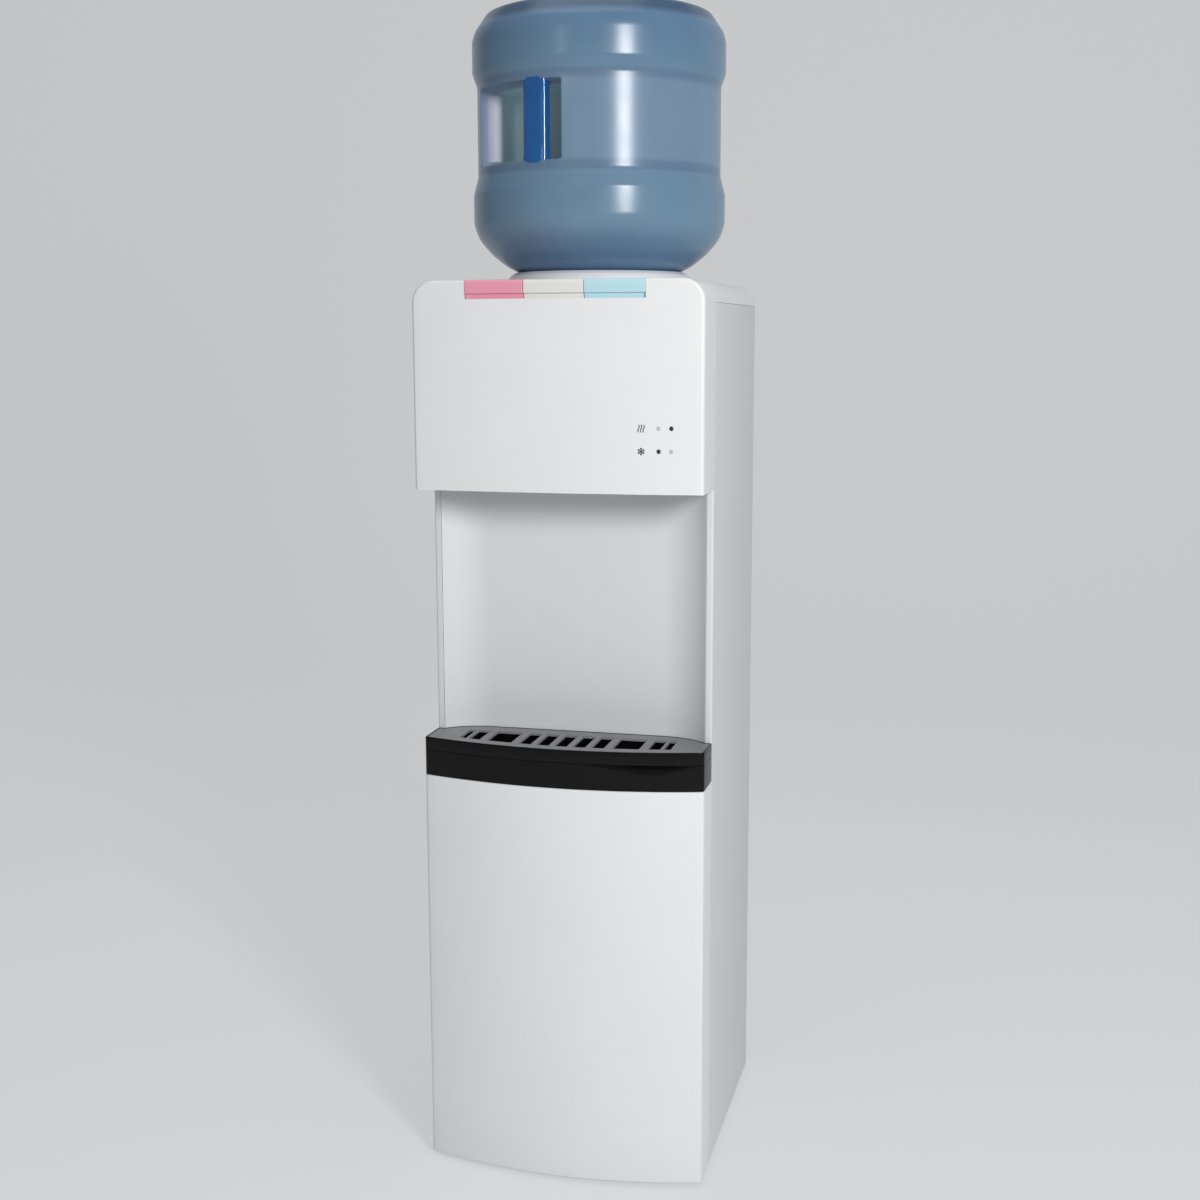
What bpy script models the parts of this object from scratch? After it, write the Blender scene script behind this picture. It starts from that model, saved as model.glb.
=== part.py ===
"""Free-standing water cooler with an inverted bottle, three push buttons and a drip tray.

Metres, +Z up, front towards -Y. The origin is on the floor, under the middle of the cabinet.
"""

import math

import bmesh
import bpy
from mathutils import Matrix, Vector

MM = 0.001

# Cabinet
CABINET_WIDTH = 300 * MM
CABINET_DEPTH = 324 * MM
CABINET_TOP = 946 * MM
CORNER_RADIUS = 22 * MM
SEAM_SETBACK = 65 * MM
FLANGE_WIDTH = 7 * MM
REAR_LIP = 12 * MM
BACK_RECESS = 15 * MM
BACK_PANEL_BOTTOM = 200 * MM
SHEET = 1 * MM
WALL = 2.5 * MM
GAP = 0.3 * MM
OVERRUN = 20 * MM
EDGE_RADIUS = 4 * MM
FOOT_HEIGHT = 5 * MM
FOOT_RADIUS = 15 * MM
FOOT_INSET = 32 * MM
PAN_THICKNESS = 2 * MM

# Head, niche, drip tray and lower front
HEAD_HEIGHT = 210 * MM
HEAD_BOW = 8 * MM
FRONT_BOW = 22 * MM
NICHE_DEPTH = 20 * MM
NICHE_RADIUS = 68 * MM
HEAD_FLOOR_RISE = 28 * MM
TRAY_TOP = 473 * MM
TRAY_HEIGHT = 41 * MM
LIP_HEIGHT = 13.5 * MM
GRILLE_THICKNESS = 3 * MM
GRILLE_EDGE = 2 * MM
BASIN_BACK_HALF = 128 * MM
BASIN_BACK_RUN = 10 * MM
TRAY_CLEARANCE = 0.6 * MM

# Grille openings, each as (middle x, width) in shares of half the cabinet's width
GRILLE_SLOT_SHARES = (
    (-0.733, 0.050), (-0.645, 0.085), (-0.453, 0.185),
    (-0.260, 0.090), (-0.130, 0.090), (0.000, 0.090), (0.130, 0.090), (0.260, 0.090),
    (0.453, 0.185), (0.645, 0.085), (0.733, 0.050),
)
GRILLE_MARGIN = 16 * MM

# Buttons
BUTTON_PITCH = 61.7 * MM
BUTTON_HEIGHT = 18.7 * MM
BUTTON_STEP = 5.2 * MM
BUTTON_SEAM = 0.6 * MM
BUTTON_FACE = 3.1 * MM
SKIRT_SETBACK = 2.9 * MM
SKIRT_THICKNESS = 2 * MM
SKIRT_OVERLAP = 5 * MM
BUTTON_REAR_CLEARANCE = 1.5 * MM
AXLE_RADIUS = 2 * MM
AXLE_SETBACK = 56 * MM
AXLE_DROP = 10 * MM
KNUCKLE_RADIUS = 4.2 * MM
KNUCKLE_WIDTH = 5 * MM
KNUCKLE_INSET = 9 * MM
EAR_WIDTH = 3 * MM
EAR_DEPTH = 12 * MM
FRAME_DROP = 66 * MM

# Taps, push rods and springs
ROD_SETBACK = 24 * MM
SPOUT_SETBACK = 42 * MM
TAP_RISE = 13 * MM
TAP_RADIUS = 10 * MM
TAP_REAR = 62 * MM
TAP_FRONT = 13 * MM
BARB_RADIUS = 3.5 * MM
BARB_LENGTH = 8 * MM
SPOUT_RADIUS = 7 * MM
SPOUT_BORE = 4.5 * MM
SPOUT_TIP_RISE = 2 * MM
TAP_FLANGE_RADIUS = 12 * MM
TAP_FLANGE = 3 * MM
STEM_RADIUS = 6 * MM
STEM_HEIGHT = 18 * MM
ROD_RADIUS = 2.5 * MM
ROD_HEAD_RADIUS = 4 * MM
ROD_COLLAR_RADIUS = 6.5 * MM
ROD_COLLAR = 2 * MM
ROD_COLLAR_RISE = 28 * MM
ROD_TOP_GAP = 0.4 * MM
ROD_ENGAGEMENT = 2 * MM
STEM_BORE_DEPTH = 8 * MM
NOSE_RADIUS = 2 * MM
NOSE_DROP = 12 * MM
SPRING_RADIUS = 4.6 * MM
SPRING_WIRE = 0.6 * MM
SPRING_TURNS = 5
SPRING_STEPS = 8

# Indicator lights
LIGHT_RADIUS = 2.3 * MM
LIGHT_LENGTH = 11 * MM
LIGHT_PROUD = 0.5 * MM
LIGHT_COLUMN_INSETS = (44.5 * MM, 32 * MM)
LIGHT_ROW_RISES = (42.5 * MM, 65 * MM)
BOARD_MARGIN = 10 * MM
BOARD_THICKNESS = 1.6 * MM

# Bottle
BOTTLE_SETBACK = 189 * MM
BOTTLE_WALL = 2 * MM
BOTTLE_RADIUS = 135 * MM
WAIST_RADIUS = 130 * MM
NECK_RADIUS = 27.5 * MM
SEAT_RADIUS = 86.8 * MM
COLLAR_HEIGHT = 12 * MM
NECK_END_DROP = 83.5 * MM
BOTTLE_HEIGHT = 280.5 * MM
THREAD_END_DROP = 38 * MM
CONE_START_DROP = 32 * MM
CONE_BEND_DROP = 14.5 * MM
CONE_BEND_RADIUS = 54.7 * MM

# The bottle's side from its seat up, as (share of its radius, share of the height above the seat)
BODY_SHARES = (
    (0.745, 0.026), (0.857, 0.071), (0.960, 0.130), (1.000, 0.190), (1.000, 0.302), (0.985, 0.332),
    (0.963, 0.373), (0.963, 0.720), (0.985, 0.750), (1.000, 0.772), (1.000, 0.891), (0.978, 0.925),
    (0.941, 0.951), (0.889, 0.989), (0.830, 1.000), (0.778, 0.996), (0.726, 0.970), (0.000, 0.970),
)
HANDLE_AZIMUTH = math.radians(-17.0)
HANDLE_WIDTH = 28 * MM
HANDLE_THICKNESS = 15 * MM
HANDLE_HEIGHT = 78 * MM
HANDLE_MIDDLE_RISE = 159.5 * MM
POCKET_DEPTH = 44 * MM
POCKET_START = math.radians(-58.0)
POCKET_END = math.radians(-4.0)
CAP_WALL = 2.2 * MM
CAP_HEIGHT = 45 * MM

# Bottle collar and feed probe
COLLAR_RADIUS = 100.5 * MM
COLLAR_TOP_RADIUS = 91 * MM
COLLAR_SEAT_GAP = 0.45 * MM
COLLAR_UNDERCUT = 3.2 * MM
SPIGOT_RADIUS = 80 * MM
WELL_RADIUS = 34 * MM
WELL_DEPTH = 92 * MM
PROBE_RADIUS = 6 * MM
PROBE_BORE = 4 * MM
PROBE_FLANGE_RADIUS = 12 * MM
PROBE_FLANGE = 2 * MM
PROBE_RISE = 38 * MM
PROBE_DROP = 18 * MM

# The collar's rounded edge, as (share of its height inwards, share of its height up)
COLLAR_EDGE_SHARES = ((0.10, 0.35), (0.38, 0.75))

# Cold tank
TANK_WALL = 1.2 * MM
COLD_TANK_HEIGHT = 102 * MM
COLD_TANK_DROP = 6 * MM
LID_THICKNESS = 3 * MM
LID_OVERHANG = 2.5 * MM
COIL_STANDOFF = 4.6 * MM
COIL_TUBE = 3 * MM
COIL_TURNS = 3
COIL_STEPS = 18
COIL_RISE = 14 * MM
COIL_PITCH = 14 * MM
FOAM_WALL = 16 * MM
FOAM_BORE_CLEARANCE = 8.6 * MM
FOAM_FLOOR = 10 * MM
FOAM_FRONT_CLEARANCE = 13.5 * MM
FOAM_REAR_CLEARANCE = 31 * MM
SHELF_THICKNESS = 1.2 * MM
SHELF_MARGIN = 1 * MM

# Hot tank
HOT_TANK_RADIUS = 52 * MM
HOT_TANK_HEIGHT = 130 * MM
HOT_TANK_HEADROOM = 48.9 * MM
JACKET_THICKNESS = 13 * MM
JACKET_SLOT = 30 * MM
HEATER_HOLE = 12 * MM
HEATER_FLANGE_RADIUS = 20 * MM
HEATER_FLANGE = 3 * MM
HEATER_ROD = 4 * MM
HEATER_HEIGHT = 90 * MM
THERMOSTAT_RADIUS = 11 * MM
THERMOSTAT_DEPTH = 9 * MM
THERMOSTAT_RISE = 70 * MM

# Hoses and pipes
HOSE_RADIUS = 4.5 * MM
HOSE_CLEARANCE = 1 * MM
HOSE_LEAD = 8 * MM
COLD_OUTLET_DROP = 3 * MM
ROOM_OUTLET_RISE = 12 * MM
FEED_RISE = 40 * MM
FEED_X = 50 * MM
FEED_INLET_RISE = 20 * MM
DRAIN_RADIUS = 5 * MM
DRAIN_INSET = 55 * MM
DRAIN_Z = 340 * MM
DRAIN_START_X = 34 * MM
DRAIN_TIP_PROUD = 9 * MM
DRAIN_CAP_RADIUS = 12 * MM
DRAIN_CAP_LENGTH = 12.5 * MM
DRAIN_CAP_END = 2.5 * MM

# Cooling circuit
COMPRESSOR_REAR_INSET = 87 * MM
COMPRESSOR_RADIUS = 56 * MM
COMPRESSOR_HEIGHT = 140 * MM
COMPRESSOR_PLATE = 3 * MM
COMPRESSOR_SHARES = (
    (0.00, 0.000), (0.86, 0.000), (1.00, 0.117), (1.00, 0.785), (0.88, 0.914), (0.55, 0.980), (0.00, 1.000),
)
COMPRESSOR_PLATE_HALF_X = 72 * MM
COMPRESSOR_PLATE_HALF_Y = 46 * MM
COMPRESSOR_LEG = 8 * MM
COMPRESSOR_LEG_RADIUS = 10 * MM
CONDENSER_TUBE = 2.5 * MM
CONDENSER_INSET = 32 * MM
CONDENSER_BOTTOM = 430 * MM
CONDENSER_ROWS = 11
CONDENSER_PITCH = 42 * MM
CONDENSER_STANDOFF = 7 * MM
RAIL_WIDTH = 9 * MM
DRIER_RADIUS = 6.5 * MM
DRIER_LENGTH = 80 * MM

# Rear switch plate with the mains inlet
PLATE_INSET = 38 * MM
PLATE_WIDTH = 142 * MM
PLATE_MIDDLE_Z = 340 * MM
PLATE_HEIGHT = 44 * MM
PLATE_THICKNESS = 3 * MM
ROCKER_HALF_WIDTH = 6.5 * MM
ROCKER_HALF_HEIGHT = 9 * MM
ROCKER_THICKNESS = 6 * MM
ROCKER_CLEARANCE = 0.8 * MM
ROCKER_TILT = math.radians(8.0)
ROCKER_INSETS = (20 * MM, 48 * MM)
INLET_INSET = 38 * MM
INLET_HALF_WIDTH = 14 * MM
INLET_HALF_HEIGHT = 10.5 * MM
INLET_DEPTH = 18 * MM
INLET_WALL = 2.5 * MM

# Steps of round shapes
ARC_STEPS = 4
BOW_STEPS = 10
ROUND_SIDES = 16
TANK_SIDES = 32
BOTTLE_SIDES = 36
SMOOTH_ANGLE = math.radians(32.0)
SAME_POINT = 0.01 * MM
SHARPEST_MITRE = 0.5
SMALL_SIDES = 12
ROD_SIDES = 10
STUD_SIDES = 8
SPOUT_SIDES = 18
CAN_SIDES = 24
TUBE_SIDES = 5
WIRE_SIDES = 4

# Places that follow from the sizes above
HALF = CABINET_WIDTH / 2
FRONT = -CABINET_DEPTH / 2
REAR = CABINET_DEPTH / 2
FLANGE_Y = FRONT + SEAM_SETBACK
SHOULDER_Z = CABINET_TOP - CORNER_RADIUS
INNER_HALF = HALF - SHEET - GAP
NICHE_HALF = HALF - FLANGE_WIDTH - GAP
NICHE_Y = FLANGE_Y + NICHE_DEPTH
NICHE_BACK = NICHE_Y + WALL
HEAD_BOTTOM = CABINET_TOP - HEAD_HEIGHT
HEAD_FLOOR_Z = HEAD_BOTTOM + HEAD_FLOOR_RISE
TRAY_BOTTOM = TRAY_TOP - TRAY_HEIGHT
LIP_Z = TRAY_TOP - LIP_HEIGHT
BAND_FLOOR_TOP = TRAY_BOTTOM + GAP + WALL
BUTTONS_HALF = 1.5 * BUTTON_PITCH
NOTCH_Z = CABINET_TOP - BUTTON_HEIGHT
AXLE_Y = FRONT + AXLE_SETBACK
AXLE_Z = CABINET_TOP - AXLE_DROP
FRAME_Z = CABINET_TOP - FRAME_DROP
ROD_Y = FRONT + ROD_SETBACK
TAP_Z = HEAD_FLOOR_Z + WALL + TAP_RISE
ROD_TOP = CABINET_TOP - NOSE_DROP - ROD_TOP_GAP
BOTTLE_Y = FRONT + BOTTLE_SETBACK
COLLAR_TOP = CABINET_TOP + COLLAR_HEIGHT
NECK_END = CABINET_TOP - NECK_END_DROP
WELL_FLOOR = CABINET_TOP - WELL_DEPTH
BOTTLE_TOP = CABINET_TOP + BOTTLE_HEIGHT
COLD_LID_Z = WELL_FLOOR - WALL - COLD_TANK_DROP
COLD_TANK_BOTTOM = COLD_LID_Z - LID_THICKNESS - GAP - COLD_TANK_HEIGHT
COLD_SHELF_Z = COLD_TANK_BOTTOM - GAP - FOAM_FLOOR - GAP
BACK_Y = REAR - BACK_RECESS
ROOM_BACK = BACK_Y - SHEET
FOAM_FRONT = NICHE_BACK + FOAM_FRONT_CLEARANCE
FOAM_REAR = ROOM_BACK - FOAM_REAR_CLEARANCE
FOAM_HALF = (FOAM_REAR - FOAM_FRONT) / 2
TANK_Y = (FOAM_REAR + FOAM_FRONT) / 2
TANK_RADIUS = FOAM_HALF - FOAM_WALL
COIL_RADIUS = TANK_RADIUS + COIL_STANDOFF
FOAM_BORE = TANK_RADIUS + FOAM_BORE_CLEARANCE
HOT_TANK_Y = (NICHE_BACK + ROOM_BACK) / 2
HOT_TANK_BOTTOM = COLD_SHELF_Z - SHELF_THICKNESS - HOT_TANK_HEADROOM - HOT_TANK_HEIGHT
HOT_SHELF_Z = HOT_TANK_BOTTOM - GAP
DRAIN_X = HALF - DRAIN_INSET
COMPRESSOR_Y = REAR - COMPRESSOR_REAR_INSET
CONDENSER_HALF = HALF - CONDENSER_INSET
PLATE_LEFT = PLATE_INSET - HALF
PLATE_RIGHT = PLATE_LEFT + PLATE_WIDTH
ROCKER_XS = [PLATE_LEFT + inset for inset in ROCKER_INSETS]
INLET_X = PLATE_RIGHT - INLET_INSET
PAN_TOP = FOOT_HEIGHT + PAN_THICKNESS

FINISHES = {
    "white_shell": ((0.86, 0.86, 0.85), 0.35, 0.0),
    "white_sheet": ((0.80, 0.80, 0.80), 0.40, 0.0),
    "grey_liner": ((0.68, 0.68, 0.68), 0.45, 0.0),
    "black_trim": ((0.012, 0.012, 0.013), 0.18, 0.0),
    "grey_grille": ((0.16, 0.16, 0.16), 0.40, 0.0),
    "blue_bottle": ((0.18, 0.34, 0.50), 0.08, 0.0),
    "white_cap": ((0.85, 0.86, 0.88), 0.45, 0.0),
    "pink_button": ((0.80, 0.30, 0.42), 0.30, 0.0),
    "white_button": ((0.80, 0.80, 0.78), 0.30, 0.0),
    "blue_button": ((0.52, 0.75, 0.82), 0.30, 0.0),
    "grey_moulding": ((0.30, 0.30, 0.31), 0.50, 0.0),
    "spout_white": ((0.78, 0.78, 0.77), 0.35, 0.0),
    "green_board": ((0.02, 0.14, 0.06), 0.45, 0.0),
    "light_lens": ((0.10, 0.10, 0.10), 0.15, 0.0),
    "stainless": ((0.62, 0.62, 0.62), 0.28, 1.0),
    "bright_steel": ((0.70, 0.70, 0.72), 0.30, 1.0),
    "zinc_steel": ((0.55, 0.56, 0.57), 0.45, 1.0),
    "copper": ((0.72, 0.38, 0.24), 0.30, 1.0),
    "white_foam": ((0.86, 0.86, 0.84), 0.90, 0.0),
    "silicone": ((0.75, 0.76, 0.76), 0.40, 0.0),
    "black_enamel": ((0.015, 0.015, 0.016), 0.35, 0.0),
    "black_rubber": ((0.02, 0.02, 0.02), 0.70, 0.0),
    "red_rocker": ((0.55, 0.03, 0.03), 0.30, 0.0),
    "green_rocker": ((0.03, 0.35, 0.10), 0.30, 0.0),
}


def material(slot):
    """The named finish as a Principled material, made once."""
    found = bpy.data.materials.get(slot)
    if found:
        return found
    colour, roughness, metallic = FINISHES[slot]
    made = bpy.data.materials.new(slot)
    made.use_nodes = True
    shader = made.node_tree.nodes["Principled BSDF"]
    shader.inputs["Base Color"].default_value = (*colour, 1.0)
    shader.inputs["Roughness"].default_value = roughness
    shader.inputs["Metallic"].default_value = metallic
    made.diffuse_color = (*colour, 1.0)
    return made


def solid(name, points, faces, slot):
    """A closed body from points and faces, its faces turned outwards."""
    mesh = bpy.data.meshes.new(name)
    mesh.from_pydata(points, [], faces)
    form = bmesh.new()
    form.from_mesh(mesh)
    bmesh.ops.recalc_face_normals(form, faces=form.faces)
    form.to_mesh(mesh)
    form.free()
    mesh.shade_smooth()
    mesh.set_sharp_from_angle(angle=SMOOTH_ANGLE)
    mesh.materials.append(material(slot))
    made = bpy.data.objects.new(name, mesh)
    bpy.context.collection.objects.link(made)
    return made


def prism(name, outline, low, high, slot, axis="Z"):
    """An outline extruded along one axis, from low to high.

    The outline holds (x, y) pairs for axis Z, (x, z) for Y and (y, z) for X.
    """
    place = {
        "Z": lambda a, b, c: (a, b, c),
        "Y": lambda a, b, c: (a, c, b),
        "X": lambda a, b, c: (c, a, b),
    }[axis]
    count = len(outline)
    points = [place(a, b, c) for c in (low, high) for a, b in outline]
    sides = [(i, (i + 1) % count, count + (i + 1) % count, count + i) for i in range(count)]
    ends = [tuple(range(count)), tuple(range(count, 2 * count))]
    return solid(name, points, sides + ends, slot)


def box(name, low, high, slot):
    """A plain block between two corners."""
    outline = [(low[0], low[1]), (high[0], low[1]), (high[0], high[1]), (low[0], high[1])]
    return prism(name, outline, low[2], high[2], slot)


def turned(name, profile, centre, slot, sides=ROUND_SIDES, axis="Z"):
    """A closed profile of (radius, height) pairs, revolved about an axis through centre."""
    place = {
        "Z": lambda a, b, h: Vector((a, b, h)),
        "Y": lambda a, b, h: Vector((a, h, b)),
        "X": lambda a, b, h: Vector((h, a, b)),
    }[axis]
    points = []
    rings = []
    for radius, height in profile:
        if radius == 0:
            rings.append([len(points)])
            points.append(Vector(centre) + place(0, 0, height))
            continue
        rings.append(list(range(len(points), len(points) + sides)))
        for i in range(sides):
            turn = 2 * math.pi * i / sides
            points.append(Vector(centre) + place(radius * math.cos(turn), radius * math.sin(turn), height))
    faces = []
    for i, ring in enumerate(rings):
        other = rings[(i + 1) % len(rings)]
        for j in range(sides):
            k = (j + 1) % sides
            face = [ring[j % len(ring)], ring[k % len(ring)], other[k % len(other)], other[j % len(other)]]
            corners = list(dict.fromkeys(face))
            if len(corners) > 2:
                faces.append(corners)
    return solid(name, points, faces, slot)


def rod(name, centre, radius, low, high, slot, sides=ROUND_SIDES, axis="Z"):
    """A plain round bar along one axis, between two distances from its centre point."""
    along = "XYZ".index(axis)
    a, b = (centre[i] for i in range(3) if i != along)
    turns = [2 * math.pi * i / sides for i in range(sides)]
    outline = [(a + radius * math.cos(turn), b + radius * math.sin(turn)) for turn in turns]
    return prism(name, outline, centre[along] + low, centre[along] + high, slot, axis)


def pipe(name, route, radius, slot, sides=6):
    """A round bar swept along a route, its rings carried on without twist."""
    route = [Vector(point) for point in route]
    headings = []
    for i in range(len(route)):
        ahead = route[min(i + 1, len(route) - 1)] - route[i]
        behind = route[i] - route[max(i - 1, 0)]
        headings.append((ahead.normalized() + behind.normalized()).normalized())
    across = headings[0].orthogonal().normalized()
    points = []
    for i, heading in enumerate(headings):
        if i:
            across = headings[i - 1].rotation_difference(heading) @ across
        across = (across - heading * across.dot(heading)).normalized()
        other = heading.cross(across)
        for j in range(sides):
            turn = 2 * math.pi * j / sides
            points.append(route[i] + radius * (across * math.cos(turn) + other * math.sin(turn)))
    faces = [tuple(range(sides)), tuple(range(len(points) - sides, len(points)))]
    for i in range(len(route) - 1):
        for j in range(sides):
            k = (j + 1) % sides
            faces.append((i * sides + j, i * sides + k, (i + 1) * sides + k, (i + 1) * sides + j))
    return solid(name, points, faces, slot)


def smooth_route(points, steps=3):
    """A smooth curve through a route's points, by the Catmull-Rom formula, with straight ends."""
    points = [Vector(point) for point in points]
    route = [points[0]]
    for i in range(1, len(points) - 2):
        a, b, c, d = points[i - 1 : i + 3]
        for step in range(steps):
            t = step / steps
            route.append(
                b + ((c - a) * t + (2 * a - 5 * b + 4 * c - d) * t**2 + (3 * b - a - 3 * c + d) * t**3) / 2
            )
    return [*route, points[-2], points[-1]]


def combine(body, other, operation):
    """Joins another shape to a body, or cuts with it, and hides that shape."""
    other.hide_render = True
    other.display_type = "WIRE"
    step = body.modifiers.new(other.name, "BOOLEAN")
    step.operation = operation
    step.object = other
    return body


def cut(body, *others):
    """The body without the shapes."""
    for other in others:
        combine(body, other, "DIFFERENCE")
    return body


def join(body, *others):
    """The body and the shapes as one solid."""
    for other in others:
        combine(body, other, "UNION")
    return body


def pivot(body, point):
    """Moves a body's origin to a point on its joint, the shape staying where it is."""
    body.data.transform(Matrix.Translation(-Vector(point)))
    body.location = point
    return body


def rounded(corners):
    """An outline whose corners, given as (a, b, radius), are turned into arcs."""
    outline = []
    for i, (a, b, radius) in enumerate(corners):
        corner = Vector((a, b))
        if radius == 0:
            outline.append((a, b))
            continue
        before = (Vector(corners[i - 1][:2]) - corner).normalized()
        after = (Vector(corners[(i + 1) % len(corners)][:2]) - corner).normalized()
        half_angle = before.angle(after) / 2
        centre = corner + (before + after).normalized() * (radius / math.sin(half_angle))
        start = corner + before * (radius / math.tan(half_angle)) - centre
        sweep = (math.pi - 2 * half_angle) * (1 if before.cross(after) < 0 else -1)
        for step in range(ARC_STEPS + 1):
            point = centre + Matrix.Rotation(sweep * step / ARC_STEPS, 2) @ start
            outline.append((point.x, point.y))
    return [point for i, point in enumerate(outline) if math.dist(point, outline[i - 1]) > SAME_POINT]


def bow_y(x, bow, inset=0.0):
    """The bowed front in plan: furthest forward in the middle, back by bow at the cabinet's sides."""
    return FRONT + inset + bow * (x / HALF) ** 2


def bowed_path(bow, inset, back):
    """A bowed front in plan with its two sides running back, from left to right."""
    half = HALF - inset
    xs = [half * (2 * i / BOW_STEPS - 1) for i in range(BOW_STEPS + 1)]
    corners = [(-half, back, 0.0)]
    for x in xs:
        at_side = abs(x) == half
        corners.append((x, bow_y(x, bow, inset), max(EDGE_RADIUS - inset, 0.0) if at_side else 0.0))
    return rounded([*corners, (half, back, 0.0)])


def bowed_plate(bow, inset, back_half, back):
    """A bowed front with a narrower part that passes back between the side panels' flanges."""
    seam = FLANGE_Y - GAP
    tongue = [(back_half, seam), (back_half, back), (-back_half, back), (-back_half, seam)]
    return bowed_path(bow, inset, seam) + tongue


def arched(half, top, bottom, radius):
    """The front view of the cabinet's top: square below, with two rounded upper corners."""
    return rounded([(-half, bottom, 0.0), (half, bottom, 0.0), (half, top, radius), (-half, top, radius)])


def niche_curve(offset):
    """The niche's concave back in plan, from left to right, set back by an offset.

    It is flat in the middle and turns forward in an arc at each side, to the flanges.
    """
    radius = NICHE_RADIUS + offset
    flat_half = HALF - FLANGE_WIDTH - math.sqrt(NICHE_RADIUS**2 - (NICHE_RADIUS - NICHE_DEPTH) ** 2)
    reach = math.asin(min((NICHE_HALF - flat_half) / radius, 1.0))
    right = []
    for step in range(2 * ARC_STEPS + 1):
        turn = reach * step / (2 * ARC_STEPS)
        right.append((flat_half + radius * math.sin(turn), NICHE_Y - NICHE_RADIUS + radius * math.cos(turn)))
    left = [(-x, y) for x, y in reversed(right)]
    return left + right


def side_panels():
    """Two sheet sides, each with a narrow front flange beside the niche and a lip at the back."""
    for name, side in (("left_side_panel", -1), ("right_side_panel", 1)):
        outline = [
            (HALF, FLANGE_Y),
            (HALF, REAR),
            (HALF - REAR_LIP, REAR),
            (HALF - REAR_LIP, REAR - SHEET),
            (HALF - SHEET, REAR - SHEET),
            (HALF - SHEET, FLANGE_Y + SHEET),
            (HALF - FLANGE_WIDTH, FLANGE_Y + SHEET),
            (HALF - FLANGE_WIDTH, FLANGE_Y),
        ]
        prism(name, [(side * x, y) for x, y in outline], FOOT_HEIGHT, SHOULDER_Z - GAP, "white_sheet")


def top_cover():
    """The moulded lid of the cabinet behind the head, with the round hole for the bottle collar."""
    outline = arched(HALF, CABINET_TOP, SHOULDER_Z, CORNER_RADIUS)
    cover = prism("top_cover", outline, FLANGE_Y, REAR, "white_shell", "Y")
    hollow = prism(
        "cutter_top_hollow",
        arched(HALF - WALL, CABINET_TOP - WALL, SHOULDER_Z - OVERRUN, CORNER_RADIUS - WALL),
        FLANGE_Y - OVERRUN,
        REAR - WALL,
        "white_shell",
        "Y",
    )
    hole = rod(
        "cutter_collar_hole",
        (0, BOTTLE_Y, 0),
        SPIGOT_RADIUS + 2 * GAP,
        CABINET_TOP - OVERRUN,
        CABINET_TOP + OVERRUN,
        "white_shell",
        BOTTLE_SIDES,
    )
    cut(cover, hollow, hole)


def light_places():
    """The (x, z) places of the indicator lights, lower row first."""
    return [(HALF - inset, HEAD_BOTTOM + rise) for rise in LIGHT_ROW_RISES for inset in LIGHT_COLUMN_INSETS]


def head_panel():
    """The bowed front shell of the head, notched for the buttons and pierced for the lights."""
    back = FLANGE_Y - GAP
    shell = prism("head_panel", bowed_path(HEAD_BOW, 0.0, back), HEAD_BOTTOM, CABINET_TOP, "white_shell")
    arch = prism(
        "cutter_head_arch",
        arched(HALF, CABINET_TOP, HEAD_BOTTOM - OVERRUN, CORNER_RADIUS),
        FRONT - OVERRUN,
        back + OVERRUN,
        "white_shell",
        "Y",
    )
    combine(shell, arch, "INTERSECT")
    hollow = prism(
        "cutter_head_hollow",
        bowed_path(HEAD_BOW, WALL, back + OVERRUN),
        HEAD_BOTTOM - OVERRUN,
        CABINET_TOP - WALL,
        "white_shell",
    )
    inner_arch = prism(
        "cutter_head_inner_arch",
        arched(HALF - WALL, CABINET_TOP - WALL, HEAD_BOTTOM - 2 * OVERRUN, CORNER_RADIUS - WALL),
        FRONT - OVERRUN,
        back + 2 * OVERRUN,
        "white_shell",
        "Y",
    )
    combine(hollow, inner_arch, "INTERSECT")
    notch = box(
        "cutter_button_notch",
        (-BUTTONS_HALF - GAP, FRONT - OVERRUN, NOTCH_Z),
        (BUTTONS_HALF + GAP, back + OVERRUN, CABINET_TOP + OVERRUN),
        "white_shell",
    )
    cut(shell, hollow, notch)
    for i, (x, z) in enumerate(light_places()):
        face = (x, bow_y(x, HEAD_BOW), z)
        hole = rod(f"cutter_light_{i}", face, LIGHT_RADIUS + GAP, -WALL, 2 * WALL, "white_shell", axis="Y")
        cut(shell, hole)


def head_floor():
    """The plate under the head that carries the taps."""
    outline = bowed_plate(HEAD_BOW, WALL + GAP, NICHE_HALF, NICHE_BACK)
    plate = prism("head_floor", outline, HEAD_FLOOR_Z, HEAD_FLOOR_Z + WALL, "grey_liner")
    for i in (-1, 0, 1):
        centre = (i * BUTTON_PITCH, FRONT + SPOUT_SETBACK, HEAD_FLOOR_Z)
        cut(plate, rod(f"cutter_spout_{i + 1}", centre, SPOUT_RADIUS + GAP, -OVERRUN, OVERRUN, "grey_liner"))


def niche_liner():
    """The concave back of the niche, standing on the tray band and carrying the head floor."""
    outline = niche_curve(0.0) + list(reversed(niche_curve(WALL)))
    prism("niche_liner", outline, BAND_FLOOR_TOP + GAP, HEAD_FLOOR_Z - GAP, "grey_liner")


def lower_front_panel():
    """The bowed front below the tray."""
    outside = bowed_path(FRONT_BOW, 0.0, FLANGE_Y - GAP)
    inside = bowed_path(FRONT_BOW, WALL, FLANGE_Y - GAP)
    prism("lower_front_panel", outside + inside[::-1], FOOT_HEIGHT, TRAY_BOTTOM, "white_shell")


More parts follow.
